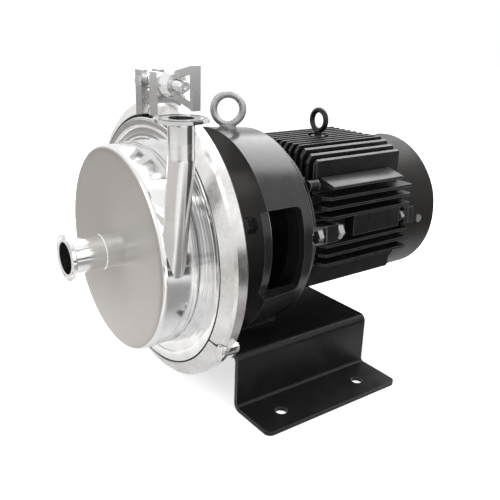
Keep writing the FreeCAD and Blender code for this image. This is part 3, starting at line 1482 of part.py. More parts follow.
def make_frame():
    core = cylinder("frame_core", s.frame_radius, frame_front, frame_rear, "Y")
    fins = common("frame_fins", fuse("fin_block", fin_boxes(), refine=False), frame_envelope())
    lugs = [lug("front_lug_%d" % index, angle, s.lug_circle, frame_front, lug_end)
            for index, angle in enumerate(lug_angles)]
    lugs += [lug("rear_lug_%d" % index, angle, s.rear_lug_circle, rear_lug_start, frame_rear)
             for index, angle in enumerate(lug_angles)]
    boss = cylinder("eye_boss", s.motor_eye_boss_radius, s.fin_root, s.motor_eye_base, "Z", 0, motor_eye_place)
    body = fuse("frame_body", [core, boss] + lugs)
    solid = fuse("frame_solid", [body, fins], refine=False)
    tools = [cylinder("frame_bore", s.frame_bore, frame_front - OVERCUT, frame_rear + OVERCUT, "Y")]
    tools.append(cylinder("eye_room", s.motor_eye_boss_radius + s.motor_eye_boss_clear, s.motor_eye_base,
                          s.fin_top + OVERCUT, "Z", 0, motor_eye_place))
    tools.append(cylinder("eye_hole", s.motor_eye_shank_radius, s.motor_eye_base - s.motor_eye_shank,
                          s.motor_eye_base + OVERCUT, "Z", 0, motor_eye_place))
    for index, (x, z) in enumerate(lug_places):
        tools.append(cylinder("front_lug_hole_%d" % index, tie_clear, frame_front - OVERCUT, lug_end + OVERCUT,
                              "Y", x, z))
        tools.append(cylinder("tie_nut_room_%d" % index, tie_room, lug_end,
                              lug_end + s.tie_nut + s.tie_bolt_tip + OVERCUT, "Y", x, z))
    clear = s.shield_bolt_radius + s.screw_clearance
    room = s.shield_bolt_flats / root(3) + s.shield_bolt_room
    for index, (x, z) in enumerate(rear_lug_places):
        tools.append(cylinder("rear_lug_hole_%d" % index, clear, rear_lug_start - OVERCUT,
                              frame_rear + OVERCUT, "Y", x, z))
        tools.append(cylinder("rear_bolt_room_%d" % index, room, rear_lug_start - s.shield_bolt_head * 2,
                              rear_lug_start, "Y", x, z))
    node("motor_frame", cut("motor_frame", solid, fuse("frame_tools", tools), refine=False))


def tie_nut(index, x, z):
    """A hexagon nut that seats on the rear of a front lug."""
    body = doc.addObject("Part::Prism", "tie_nut_body_%d" % index)
    body.Polygon = 6
    bind(body, Circumradius=s.tie_bolt_flats / root(3), Height=s.tie_nut)
    place(body, (x, lug_end, z), (("X", -QUARTER_TURN),))
    thread = cylinder("tie_nut_thread_%d" % index, s.tie_bolt_radius, lug_end - OVERCUT,
                      lug_end + s.tie_nut + OVERCUT, "Y", x, z)
    return cut("tie_nut_%d" % index, body, thread)


make_frame()
group("front_shield_bolts", [
    hex_screw("front_shield_bolt_%d" % index, s.tie_bolt_radius,
              s.lug_seat + s.lug_length + s.tie_nut + s.tie_bolt_tip, s.tie_bolt_flats, s.tie_bolt_head,
              (x, tie_seat, z), (("X", QUARTER_TURN),))
    for index, (x, z) in enumerate(lug_places)])
group("front_shield_nuts", [tie_nut(index, x, z) for index, (x, z) in enumerate(lug_places)])
group("rear_shield_bolts", [
    hex_screw("rear_shield_bolt_%d" % index, s.shield_bolt_radius, s.rear_lug_length + s.shield_bolt_bite,
              s.shield_bolt_flats, s.shield_bolt_head, (x, rear_lug_start, z), (("X", QUARTER_TURN),))
    for index, (x, z) in enumerate(rear_lug_places)])
eye_bolt("motor_eye_bolt", s.motor_eye_base, motor_eye_place, s.motor_eye_ring_radius,
         s.motor_eye_wire_radius, s.motor_eye_lift, s.motor_eye_collar_radius, s.motor_eye_collar,
         s.motor_eye_neck_radius, s.motor_eye_shank_radius, s.motor_eye_shank, 0)

# The motor's inner works.
stator_front = frame_front + s.stator_inset
stator_rear = stator_front + s.stator_length
node("stator_core", turned("stator_core", [
    (stator_front, s.stator_bore), (stator_front, s.frame_bore), (stator_rear, s.frame_bore),
    (stator_rear, s.stator_bore)]))


def winding_end(name, start, end):
    return turned(name, [(start, s.winding_inner), (start, s.winding_outer), (end, s.winding_outer),
                         (end, s.winding_inner)])


group("stator_winding", [
    winding_end("winding_front", stator_front - s.winding_reach, stator_front),
    winding_end("winding_rear", stator_rear, stator_rear + s.winding_reach)])
node("rotor_core", turned("rotor_core", [
    (stator_front, s.rotor_shaft_radius), (stator_front, s.rotor_radius), (stator_rear, s.rotor_radius),
    (stator_rear, s.rotor_shaft_radius)]))

fan_front = cover_front + s.fan_inset
fan_rear = fan_front + s.fan_length


def make_motor_shaft():
    step = bearing_front - s.motor_spigot
    corners = [(motor_shaft_front, 0), (motor_shaft_front, s.motor_shaft_radius), (step, s.motor_shaft_radius)]
    corners += [(step, s.bearing_seat_radius), (bearing_front_end, s.bearing_seat_radius)]
    corners += [(bearing_front_end, s.rotor_shaft_radius), (bearing_rear, s.rotor_shaft_radius)]
    corners += [(bearing_rear, s.bearing_seat_radius), (bearing_rear_end, s.bearing_seat_radius)]
    corners += [(bearing_rear_end, s.fan_shaft_radius), (fan_rear, s.fan_shaft_radius), (fan_rear, 0)]
    body = turned("motor_shaft", corners)
    seat = keyway_top - s.key_height
    over = s.motor_shaft_radius * 2
    slot = [(-key_half, seat), (key_half, seat), (key_half, over), (-key_half, over)]
    prism(body, Y_NORMAL, key_start, key_end, [slot], cut=True)
    node("motor_shaft", body)


make_motor_shaft()


def bearing_ring(name, start, inner, outer):
    end = start + s.bearing_width
    return turned(name, [(start, inner), (start, outer), (end, outer), (end, inner)])


race_gap = s.bearing_race_radius + s.running_gap
group("bearing_outer_rings", [
    bearing_ring("outer_ring_front", bearing_front, race_gap, s.bearing_radius),
    bearing_ring("outer_ring_rear", bearing_rear, race_gap, s.bearing_radius)])
group("bearing_inner_rings", [
    bearing_ring("inner_ring_front", bearing_front, s.bearing_seat_radius, s.bearing_race_radius),
    bearing_ring("inner_ring_rear", bearing_rear, s.bearing_seat_radius, s.bearing_race_radius)])

# The rear shield closes the frame, holds the rear bearing and carries the fan cover on four legs.
cover_inside = s.cover_radius - s.cover_wall
shield_rear = frame_rear + s.rear_shield_thickness
cover_angles = [QUARTER_TURN * step for step in range(4)]
cover_screw_place = cover_front + s.cover_screw_inset


def cover_leg(name, angle):
    half = s.cover_leg_width / 2
    inside = cover_inside - s.cover_leg_depth
    item = doc.addObject("Part::Box", name)
    bind(item, Length=s.cover_leg_depth * 2, Width=s.cover_leg_length, Height=s.cover_leg_width)
    x = inside * cosine(angle) + half * sine(angle)
    z = inside * sine(angle) - half * cosine(angle)
    return place(item, (x, shield_rear - OVERCUT, z), (("Y", -formula(angle)),))


def make_rear_shield():
    register = frame_rear - s.shield_register
    web_front = frame_rear + OVERCUT
    cap = bearing_rear_end + s.bearing_cap
    corners = [(bearing_rear, s.bearing_radius), (bearing_rear, housing_radius), (web_front, housing_radius)]
    corners += [(web_front, s.frame_bore - s.shield_web), (register, s.frame_bore - s.shield_web)]
    corners += [(register, s.frame_bore), (frame_rear, s.frame_bore), (frame_rear, cover_inside)]
    corners += [(shield_rear, cover_inside), (shield_rear, s.frame_bore)]
    corners += [(web_front + s.rear_shield_web, s.frame_bore - s.shield_web)]
    corners += [(web_front + s.rear_shield_web, housing_radius), (cap, housing_radius)]
    corners += [(cap, shaft_hole), (bearing_rear_end, shaft_hole), (bearing_rear_end, s.bearing_radius)]
    disc = turned("rear_shield_disc", corners)
    legs = [cover_leg("cover_leg_%d" % index, angle) for index, angle in enumerate(cover_angles)]
    lugs = [lug("rear_shield_lug_%d" % index, angle, s.rear_lug_circle, frame_rear, shield_rear)
            for index, angle in enumerate(lug_angles)]
    round_limit = cylinder("cover_limit", cover_inside, shield_rear - OVERCUT, cover_bend, "Y")
    legs = common("cover_legs", fuse("cover_leg_block", legs), round_limit)
    solid = fuse("rear_shield_solid", [disc, legs] + lugs)
    tools = []
    for index, (x, z) in enumerate(rear_lug_places):
        tools.append(cylinder("rear_thread_%d" % index, s.shield_bolt_radius, frame_rear - OVERCUT,
                              frame_rear + s.shield_bolt_bite, "Y", x, z))
    for index, angle in enumerate(cover_angles):
        tools.append(radial_cylinder("leg_thread_%d" % index, s.cover_screw_radius,
                                     cover_inside - s.cover_leg_depth - OVERCUT, s.cover_radius, angle))
    node("rear_shield", cut("rear_shield", solid, fuse("rear_shield_tools", tools)))


def radial_cylinder(name, radius, start, end, angle):
    """A cylinder that points out from the shaft at the fan cover's screws."""
    item = bind(doc.addObject("Part::Cylinder", name), Radius=radius, Height=formula(end) - start)
    spot = (start * cosine(angle), cover_screw_place, start * sine(angle))
    return place(item, spot, (("Y", QUARTER_TURN - formula(angle)),))


make_rear_shield()


def make_fan():
    middle = (fan_front + fan_rear) / 2
    disc_front = middle - s.fan_disc / 2
    disc_rear = middle + s.fan_disc / 2
    hub = turned("fan_hub", [
        (fan_front, s.fan_shaft_radius), (fan_front, s.fan_hub_radius), (disc_front, s.fan_hub_radius),
        (disc_front, s.fan_disc_radius), (disc_rear, s.fan_disc_radius), (disc_rear, s.fan_hub_radius),
        (fan_rear, s.fan_hub_radius), (fan_rear, s.fan_shaft_radius)])
    half = s.fan_blade_thickness / 2
    foot = s.fan_hub_radius - s.fan_blade_bite
    blade = [(foot, -half), (s.fan_radius, -half), (s.fan_radius, half), (foot, half)]
    pad = prism(hub, Y_NORMAL, fan_front, fan_rear, [blade])
    repeat_about(hub, [pad], "Y_Axis", s.fan_blades)
    node("fan", hub)


def make_fan_cover():
    wall = s.cover_wall
    corners = [(cover_front, cover_inside), (cover_front, s.cover_radius), (cover_bend, s.cover_radius)]
    corners += [(cover_mid, s.cover_mid_radius), (cover_rear, s.cover_rear_radius), (cover_rear, 0)]
    corners += [(cover_rear - wall, 0), (cover_rear - wall, s.cover_rear_radius - wall)]
    corners += [(cover_mid - wall, s.cover_mid_radius - wall), (cover_bend - wall / 2, cover_inside)]
    body = turned("fan_cover", corners)
    half = s.grille_slot / 2
    slot = [(s.grille_inner, -half), (s.grille_outer, -half), (s.grille_outer, half), (s.grille_inner, half)]
    pocket = prism(body, Y_NORMAL, cover_rear - wall * 2, cover_rear, [slot], cut=True)
    repeat_about(body, [pocket], "Y_Axis", s.grille_slots)
    clear = s.cover_screw_radius + s.screw_clearance
    tools = [radial_cylinder("cover_hole_%d" % index, clear, cover_inside - s.cover_leg_depth,
                             s.cover_radius + OVERCUT, angle)
             for index, angle in enumerate(cover_angles)]
    for index, angle in enumerate(lug_angles):
        tools.append(lug("cover_notch_%d" % index, angle, s.rear_lug_circle, cover_front - OVERCUT,
                         shield_rear + OVERCUT))
    node("fan_cover", cut("fan_cover", body, fuse("cover_tools", tools)))


make_fan()
make_fan_cover()


def cover_screw(index, angle):
    spot = (s.cover_radius * cosine(angle), cover_screw_place, s.cover_radius * sine(angle))
    length = s.cover_wall + s.cover_leg_depth
    return round_screw("cover_screw_%d" % index, s.cover_screw_radius, length, s.cover_screw_head_radius,
                       s.cover_screw_head, spot, (("Y", QUARTER_TURN - formula(angle)),))


group("fan_cover_screws", [cover_screw(index, angle) for index, angle in enumerate(cover_angles)])

# The terminal box stands against the far side's fins.
box_inner = -s.frame_half_width
box_outer = box_inner - s.box_depth
lid_outer = box_outer - s.lid_thickness
gland_x = (box_inner + box_outer) / 2
box_front = frame_front + s.box_inset
box_rear = box_front + s.box_length
gland_place = (box_front + box_rear) / 2
box_screw_places = [(y, z) for y in (box_front + s.box_screw_inset, box_rear - s.box_screw_inset)
                    for z in (s.box_bottom + s.box_screw_inset, s.box_top - s.box_screw_inset)]


def rectangle(y, z):
    return [(y[0], z[0]), (y[1], z[0]), (y[1], z[1]), (y[0], z[1])]


def box_corner_spots(x):
    return [(x, y, z) for y in (box_front, box_rear) for z in (s.box_bottom, s.box_top)]


def make_terminal_box():
    wall = s.box_wall
    body = new_body("terminal_box")
    prism(body, X_NORMAL, box_outer, box_inner, [rectangle((box_front, box_rear), (s.box_bottom, s.box_top))])
    dress(body, "Fillet", edge_names(body.Group[-1], box_corner_spots((box_inner + box_outer) / 2)),
          Radius=s.box_corner)
    hollow = rectangle((box_front + wall, box_rear - wall), (s.box_bottom + wall, s.box_top - wall))
    prism(body, X_NORMAL, box_outer, box_inner - wall, [hollow], cut=True)
    posts = [(y, z, s.box_post_radius) for y, z in box_screw_places]
    prism(body, X_NORMAL, box_outer, box_inner - wall / 2, circles=posts)
    holes = [(y, z, s.box_screw_radius) for y, z in box_screw_places]
    prism(body, X_NORMAL, box_outer, box_outer + s.box_screw_depth, circles=holes, cut=True)
    entry = [(gland_x, gland_place, s.gland_radius)]
    prism(body, Z_NORMAL, s.box_bottom, s.box_bottom + wall, circles=entry, cut=True)
    node("terminal_box", body)


def make_terminal_lid():
    body = new_body("terminal_box_lid")
    prism(body, X_NORMAL, lid_outer, box_outer, [rectangle((box_front, box_rear), (s.box_bottom, s.box_top))])
    dress(body, "Fillet", edge_names(body.Group[-1], box_corner_spots((box_outer + lid_outer) / 2)),
          Radius=s.box_corner)
    holes = [(y, z, s.box_screw_radius + s.screw_clearance) for y, z in box_screw_places]
    prism(body, X_NORMAL, lid_outer, box_outer, circles=holes, cut=True)
    node("terminal_box_lid", body)


def make_gland():
    flange = doc.addObject("Part::Prism", "gland_hex")
    flange.Polygon = 6
    bind(flange, Circumradius=s.gland_flats / root(3), Height=s.gland_hex)
    place(flange, (gland_x, gland_place, s.box_bottom - s.gland_hex))
    cap_top = s.box_bottom - s.gland_hex
    cap = doc.addObject("Part::Cone", "gland_cap")
    bind(cap, Radius1=s.gland_cap_radius - s.gland_cap_taper, Radius2=s.gland_cap_radius, Height=s.gland_cap)
    place(cap, (gland_x, gland_place, cap_top - s.gland_cap))
    thread = cylinder("gland_thread", s.gland_radius, s.box_bottom, s.box_bottom + s.gland_thread, "Z",
                      gland_x, gland_place)
    hole = cylinder("gland_hole", s.gland_hole_radius, cap_top - s.gland_cap - OVERCUT,
                    s.box_bottom + s.gland_thread + OVERCUT, "Z", gland_x, gland_place)
    node("cable_gland", cut("cable_gland", fuse("gland_solid", [flange, cap, thread]), hole))


make_terminal_box()
make_terminal_lid()
make_gland()
group("terminal_box_screws", [
    round_screw("terminal_box_screw_%d" % index, s.box_screw_radius, s.lid_thickness + s.box_screw_depth,
                s.box_screw_head_radius, s.box_screw_head, (lid_outer, y, z), (("Y", -QUARTER_TURN),))
    for index, (y, z) in enumerate(box_screw_places)])


def check_and_export():
    """Refuse a document with a failed object, then write one file for each piece."""
    doc.recompute()
    for item in doc.Objects:
        if "Invalid" in item.State or "Error" in item.State:
            raise RuntimeError("%s did not build: %s" % (item.Label, item.State))
    for name, item in nodes.items():
        if item.Shape.isNull() or not item.Shape.isValid() or not item.Shape.Solids:
            raise RuntimeError("%s has no sound solid" % name)
    os.makedirs("parts", exist_ok=True)
    for name, item in nodes.items():
        item.Shape.exportStep("parts/%s.step" % name)
        print(name, len(item.Shape.Solids), round(item.Shape.Volume))


check_and_export()
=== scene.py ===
# %% [markdown]
# # Dressing a sanitary pump for the studio
#
# The imported model already holds every part of this pump at its real size: a stainless drum with its
# clamp ring, a black lantern, a bent steel foot and a finned motor. This lesson gives each part the
# finish that it has on the real machine, adds the small pieces that a drawing leaves out, and lights
# the whole thing as for a catalogue.
#
# We start by loading the imported model. Its parts stay where they are, so the new pieces are measured
# from it and not the other way round.

# %% Load the imported model
import json
import math

import bpy
from mathutils import Matrix, Vector


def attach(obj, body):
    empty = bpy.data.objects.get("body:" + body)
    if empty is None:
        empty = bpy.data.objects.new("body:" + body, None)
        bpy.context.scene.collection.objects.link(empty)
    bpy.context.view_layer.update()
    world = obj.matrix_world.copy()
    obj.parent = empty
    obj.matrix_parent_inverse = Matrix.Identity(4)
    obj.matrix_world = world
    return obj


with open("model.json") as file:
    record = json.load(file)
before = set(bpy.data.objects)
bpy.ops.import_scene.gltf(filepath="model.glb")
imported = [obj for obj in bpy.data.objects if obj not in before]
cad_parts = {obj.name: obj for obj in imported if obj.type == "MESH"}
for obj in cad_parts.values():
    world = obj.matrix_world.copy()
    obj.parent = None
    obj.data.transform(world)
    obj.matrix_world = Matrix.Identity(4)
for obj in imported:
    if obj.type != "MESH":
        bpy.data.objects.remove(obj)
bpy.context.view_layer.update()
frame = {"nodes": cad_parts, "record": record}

# %% [markdown]
# ## The camera
#
# The camera stands where the photograph was taken from: in front, to the right and a little above. Its
# place was worked out from the round rims of the pump, which show as ovals. We could turn a camera by
# three angles, but a matrix made of its three own directions is easier to check: right, up, and
# backwards.

# %% Place the camera
camera_place = (0.61282, -0.27089, 0.41977)
azimuth, elevation, roll = (math.radians(angle) for angle in (54.53, 20.34, 1.46))
forward = Vector((-math.sin(azimuth) * math.cos(elevation),
                  math.cos(azimuth) * math.cos(elevation), -math.sin(elevation)))
level_right = Vector((math.cos(azimuth), math.sin(azimuth), 0))
level_up = level_right.cross(forward)
camera_right = math.cos(roll) * level_right + math.sin(roll) * level_up
camera_up = math.cos(roll) * level_up - math.sin(roll) * level_right

bpy.ops.object.camera_add()
camera = bpy.context.object
turn = Matrix((camera_right, camera_up, -forward)).transposed().to_4x4()
camera.matrix_world = Matrix.Translation(camera_place) @ turn
camera.data.sensor_width, camera.data.lens = 36, 45.6
camera.data.shift_x, camera.data.shift_y = 0.0288, 0.0107
bpy.context.scene.camera = camera
bpy.context.scene.view_settings.view_transform = "Standard"
print("the camera stands", round(camera.location.length, 3), "metres from the floor point under the drum")

# %% [markdown]
# ## Wiring helpers for the finishes
#
# Every finish is a small network of nodes. Adding nodes one by one by hand would fill pages, so a
# short class does three things: it adds a node, it joins its inputs to numbers or to other nodes, and
# it hands back the output. All patterns read Object coordinates. The parts' objects sit at the origin,
# so these coordinates are metres in the pump's own space.

# %% A class that wires a finish
shaft_height = 0.180


class Finish:
    """One material, or the room's light, while it is being wired."""

    def __init__(self, name, store="materials"):
        self.owner = getattr(bpy.data, store).new(name)
        self.owner.use_nodes = True
        self.tree = self.owner.node_tree
        self.tree.nodes.clear()
        self.place = self.add("ShaderNodeTexCoord").outputs["Object"]

    def add(self, kind, inputs=None, **settings):
        """Adds a node. An input is a number, a colour or another node's output."""
        made = self.tree.nodes.new(kind)
        for name, value in settings.items():
            setattr(made, name, value)
        for key, value in (inputs or {}).items():
            if isinstance(value, bpy.types.NodeSocket):
                self.tree.links.new(value, made.inputs[key])
            else:
                made.inputs[key].default_value = value
        return made

    def lumps(self, where, per_metre, detail, roughness=0.5):
        """A noise between 0 and 1 with so many lumps to the metre."""
        return self.add("ShaderNodeTexNoise", {"Vector": where, "Scale": per_metre, "Detail": detail,
                                               "Roughness": roughness}).outputs["Fac"]

    def noise(self, per_metre, detail=3, stretch=(1, 1, 1), roughness=0.5):
        """Lumps all through space. A stretch under 1 draws them out along that axis."""
        placed = self.add("ShaderNodeMapping", {"Vector": self.place, "Scale": stretch})
        return self.lumps(placed.outputs[0], per_metre, detail, roughness)

    def rings(self, per_metre, detail, radius, along=0.0):
        """Lumps that change with the radius, and with the place along the shaft if that is given."""
        placed = self.add("ShaderNodeCombineXYZ", {"X": radius, "Y": along})
        return self.lumps(placed.outputs[0], per_metre, detail)

    def span(self, value, start, end, low=0, high=1, steps="LINEAR"):
        """Maps value from start..end to low..high, and holds it there."""
        return self.add("ShaderNodeMapRange", {"Value": value, "From Min": start, "From Max": end,
                                               "To Min": low, "To Max": high},
                        interpolation_type=steps).outputs["Result"]

    def arithmetic(self, how, *values):
        return self.add("ShaderNodeMath", dict(enumerate(values)), operation=how).outputs[0]

    def sum(self, *values):
        return self.arithmetic("ADD", *values)

    def product(self, *values):
        return self.arithmetic("MULTIPLY", *values)

    def larger(self, *values):
        return self.arithmetic("MAXIMUM", *values)

    def vector(self, how, *values):
        return self.add("ShaderNodeVectorMath", dict(enumerate(values)), operation=how).outputs

    def blend(self, share, first, second):
        """A colour between two, by share."""
        return self.add("ShaderNodeMix", {0: share, 6: first, 7: second}, data_type="RGBA").outputs[2]

    def bump(self, height, distance, below=None):
        """Turns a height between 0 and 1 into a surface that rises by distance, in metres."""
        inputs = {"Height": height, "Strength": 1.0, "Distance": distance}
        if below is not None:
            inputs["Normal"] = below
        return self.add("ShaderNodeBump", inputs).outputs[0]

    def edges(self, radius):
        """1 on a sharp edge, 0 on a flat face."""
        soft = self.add("ShaderNodeBevel", {"Radius": radius}, samples=4).outputs[0]
        plain = self.add("ShaderNodeNewGeometry").outputs["True Normal"]
        return self.span(self.vector("DOT_PRODUCT", soft, plain)["Value"], 0.99, 0.85)

    def axis(self, letter):
        """One coordinate of the place, in metres."""
        return self.add("ShaderNodeSeparateXYZ", {0: self.place}).outputs[letter]

    def ring_distance(self):
        """The distance from the pump's shaft, which runs along Y at shaft_height."""
        moved = self.vector("ADD", self.place, (0, 0, -shaft_height))[0]
        flat = self.vector("MULTIPLY", moved, (1, 0, 1))[0]
        return self.vector("LENGTH", flat)["Value"]

    def close(self, **inputs):
        """Ends the network in the one shader that all the pump's finishes use."""
        named = {key.replace("_", " "): value for key, value in inputs.items()}
        shader = self.add("ShaderNodeBsdfPrincipled", named)
        self.add("ShaderNodeOutputMaterial", {"Surface": shader.outputs[0]})
        print("the finish", self.owner.name, "has", len(self.tree.nodes), "nodes")
        return self.owner


def grey(level, warmth=0.0):
    """A grey as written on a colour chart, with a little more red and less blue for warmth."""
    return (level * (1 + warmth), level, level * (1 - warmth), 1)


# %% [markdown]
# ## Stainless steel, four ways
#
# The pump end is one metal with four finishes: satin, polished, brushed and turned. A metal's own
# colour is its mirror colour. What tells the finishes apart is roughness, and how it changes over the
# surface, so each finish below is mostly a recipe for roughness.
#
# The flat front of the drum is satin. It blurs what it mirrors into a soft warm grey, and a fine grain
# keeps it from looking like plastic. Its rounded edge is polished, so the recipe may stop at a radius.

# %% Satin stainless
sharp_change = 0.0004
satin_edge = 0.1116
edge_grey, edge_rough = grey(0.86), 0.09


def satin_stainless(name, dark, light, satin_radius=None):
    """Satin. With satin_radius, it is polished further than that from the shaft's line."""
    made = Finish(name)
    cloud = made.noise(9, 4)
    grain = made.noise(900, 2)
    colour = made.blend(made.span(cloud, 0.35, 0.65), dark, light)
    rough = made.sum(made.span(cloud, 0.3, 0.7, 0.34, 0.42), made.span(grain, 0.3, 0.7, -0.03, 0.03))
    if satin_radius:
        flat = made.span(made.ring_distance(), satin_radius, satin_radius + sharp_change, 1, 0)
        colour = made.blend(flat, edge_grey, colour)
        rough = made.larger(made.product(rough, flat), edge_rough)
    return made.close(Base_Color=colour, Metallic=1.0, Roughness=rough, Normal=made.bump(grain, 0.00001))


satin = satin_stainless("satin_stainless", grey(0.50, 0.035), grey(0.56, 0.03))
front_satin = satin_stainless("front_satin_stainless", grey(0.40, 0.05), grey(0.44, 0.05), satin_edge)

# %% [markdown]
# ## Polished steel
#
# The drum's wall and ring, the inlet and the ferrules are polished, and show the room. A perfect mirror
# would look like chrome. Real polished sheet has a haze that comes and goes, and it is never quite
# flat, so a slow wave bends what it mirrors. The casing was also spun, which leaves rings about the
# shaft's line. The upper right of its ring is streaked dark in its colour, as a painted reflection.

# %% Polished stainless
ring_inner = 0.1165
streaks_above, streaks_right = (0.16, 0.20), (0.05, 0.09)


def polished_stainless(name, level, smooth, rough, wave_depth, ring_depth=0.0):
    """Polished, from smooth to rough. With ring_depth it is the casing's, which is ringed, and streaked dark
    on its upper right as a painted reflection.
    """
    made = Finish(name)
    haze = made.noise(45, 5)
    colour = made.blend(made.span(haze, 0.4, 0.7), grey(level), grey(level * 0.88, 0.004))
    surface = made.bump(made.noise(14, 2), wave_depth)
    gloss = made.span(haze, 0.3, 0.8, smooth, rough)
    if ring_depth:
        radius = made.ring_distance()
        surface = made.bump(made.rings(240, 1, radius), ring_depth, surface)
        # Painted reflection: the upper right of the casing's ring is streaked dark.
        upper_right = made.product(made.span(made.axis("Z"), *streaks_above, 0, 0.85),
                                   made.span(made.axis("X"), *streaks_right))
        on_ring = made.span(radius, ring_inner, ring_inner + sharp_change)
        painted_reflection_streaks = made.span(made.rings(420, 2, radius), 0.42, 0.56, 0.35, 1)
        colour = made.blend(made.product(painted_reflection_streaks, made.product(upper_right, on_ring)), colour, grey(0.12))
    return made.close(Base_Color=colour, Metallic=1.0, Roughness=gloss, Normal=surface)


polished = polished_stainless("polished_stainless", 0.74, smooth=0.06, rough=0.18, wave_depth=0.0004)
casing_polish = polished_stainless("casing_polish", 0.88, smooth=0.07, rough=0.18, wave_depth=0.0003,
                                   ring_depth=0.0003)
inlet_polish = polished_stainless("inlet_polish", 0.95, smooth=0.08, rough=0.16, wave_depth=0.0002)
latch_steel = polished_stainless("latch_steel", 0.60, smooth=0.24, rough=0.34, wave_depth=0.0002)
bright_latch = polished_stainless("bright_latch_steel", 0.84, smooth=0.16, rough=0.28, wave_depth=0.0002)

# %% [markdown]
# ## Brushed steel
#
# The upright discharge tube was brushed, and the fine marks run round it. A picture of such marks would
# repeat and need unwrapping. A noise that is squeezed along Z and drawn out across it does neither.

# %% Brushed tube
def brushed_stainless():
    made = Finish("brushed_stainless")
    marks = made.noise(700, 2, (0.12, 0.12, 1))
    cloud = made.noise(30, 3)
    colour = made.blend(made.span(cloud, 0.35, 0.65), grey(0.66, 0.01), grey(0.74, 0.012))
    rough = made.sum(made.span(cloud, 0.3, 0.7, 0.15, 0.21), made.span(marks, 0.3, 0.7, -0.03, 0.04))
    return made.close(Base_Color=colour, Metallic=1.0, Roughness=rough, Normal=made.bump(marks, 0.00002))


brushed = brushed_stainless()

# %% [markdown]
# ## Turned steel
#
# The clamp's segments were turned on a lathe. The tool left lines so fine that they only break up the
# light, so they go into the roughness and a very low bump. Little light reaches the gap between the
# clamp and the casing's ring. Its wall is drawn dark here, and so is the lip beside it, except on the
# right, where the lamps reach it.

# %% Turned stainless
lip_radius, wall_fade = 0.1410, 0.0003
lip_dark, lip_clear = 0.0018, 0.0030
lip_sides = (0.02, 0.07)


def turned_stainless():
    """Fine turned lines, with painted shade on the gap's wall and on the lip about lip_radius."""
    made = Finish("turned_stainless")
    radius = made.ring_distance()
    lines = made.rings(1400, 2, radius, made.axis("Y"))
    cloud = made.noise(26, 5, roughness=0.65)
    colour = made.blend(made.span(cloud, 0.38, 0.62), grey(0.66, 0.015), grey(0.80, 0.01))
    rough = made.sum(made.span(cloud, 0.3, 0.7, 0.2, 0.32), made.span(lines, 0.3, 0.7, -0.03, 0.03))
    # Painted shade: the gap's wall and the lip beside it are drawn dark, but not on the right.
    wall = made.span(radius, lip_radius, lip_radius + wall_fade, 1, 0)
    lip = made.product(made.span(radius, lip_radius + lip_dark, lip_radius + lip_clear, 1, 0),
                       made.span(made.axis("X"), *lip_sides, 1, 0))
    gap = made.larger(wall, lip)
    colour = made.blend(gap, colour, grey(0.02))
    rough = made.sum(rough, made.product(gap, 0.4))
    return made.close(Base_Color=colour, Metallic=1.0, Roughness=rough, Normal=made.bump(lines, 0.000006))


turned = turned_stainless()

# %% [markdown]
# ## Black paint
#
# The lantern, the foot and the motor are sprayed gloss black. On the smooth lantern the paint lies
# flat. On the cast motor the sand's grain shows through, and the fan's cover is duller and a little
# warmer. Paint pulls thin on sharp edges, and their lighter grey stands partly for that wear and partly
# for a painted highlight, the thin line of light that they catch. A Bevel node finds those edges by
# itself, where painting them by hand would have to be done again after each change.

# %% Black on smooth steel, on castings and on the cover
def black_paint(name, level, rough, grains, depth, gloss, warmth=0.0, edge_wear_and_highlight=0.14, reach=0.0012):
    """Black paint with so many grains to the metre. Its edges are reach wide, and worn is their grey, partly
    wear and partly a painted highlight.
    """
    made = Finish(name)
    dust = made.noise(60, 5)
    colour = made.blend(made.span(dust, 0.45, 0.75, 0, 0.5), grey(level, warmth), grey(level * 1.8, warmth))
    # Painted highlight, partly also thin paint: sharp edges are blended towards a lighter grey.
    colour = made.blend(made.product(made.edges(reach), 0.7), colour, grey(edge_wear_and_highlight))
    rough = made.span(dust, 0.3, 0.7, rough - 0.04, rough + 0.06)
    peel = made.bump(made.noise(240, 2), 0.00006)
    surface = made.bump(made.noise(grains, 4), depth, peel)
    return made.close(Base_Color=colour, Roughness=rough, Normal=surface, Specular_IOR_Level=gloss)


smooth_black = black_paint("smooth_black_paint", 0.015, rough=0.2, grains=90, depth=0.00005, gloss=0.5)
ledge_black = black_paint("ledge_black_paint", 0.02, rough=0.34, grains=380, depth=0.0001, gloss=0.5)
foot_black = black_paint("foot_black_paint", 0.008, rough=0.32, grains=160, depth=0.0001, gloss=0.3)
cast_black = black_paint("cast_black_paint", 0.008, rough=0.3, grains=380, depth=0.00035, gloss=0.3,
                         edge_wear_and_highlight=0.22)
# The shield's wide, light edge is mostly a painted highlight: the light line along its rim.
shield_black = black_paint("shield_black_paint", 0.008, rough=0.3, grains=380, depth=0.0003, gloss=0.3,
                           edge_wear_and_highlight=0.34, reach=0.002)
cover_black = black_paint("cover_black_paint", 0.010, rough=0.46, grains=500, depth=0.00012, gloss=0.16,
                          warmth=0.12)

# %% [markdown]
# ## Hardware and the parts inside
#
# Zinc plating is a soft grey metal, mottled where it was dipped. Machined steel is brighter and
# smoother. Inside the motor are laminated steel, copper and cast aluminium, and around the shaft a seal
# of ceramic and rubber. They are hidden now, but the part may be opened up later. One recipe does for
# all of them: two colours that are mottled, with a roughness that follows the spots.

# %% Plated, machined and inner finishes
def mottled(name, first, second, smooth, rough, spots, metal=1.0, lines=(1, 1, 1)):
    """Mottled with so many spots to the metre. Lines under 1 draw them out along that axis."""
    made = Finish(name)
    spot = made.noise(spots, 4, lines)
    colour = made.blend(made.span(spot, 0.35, 0.65), first, second)
    return made.close(Base_Color=colour, Metallic=metal, Roughness=made.span(spot, 0.3, 0.7, smooth, rough),
                      Normal=made.bump(spot, 0.00003))


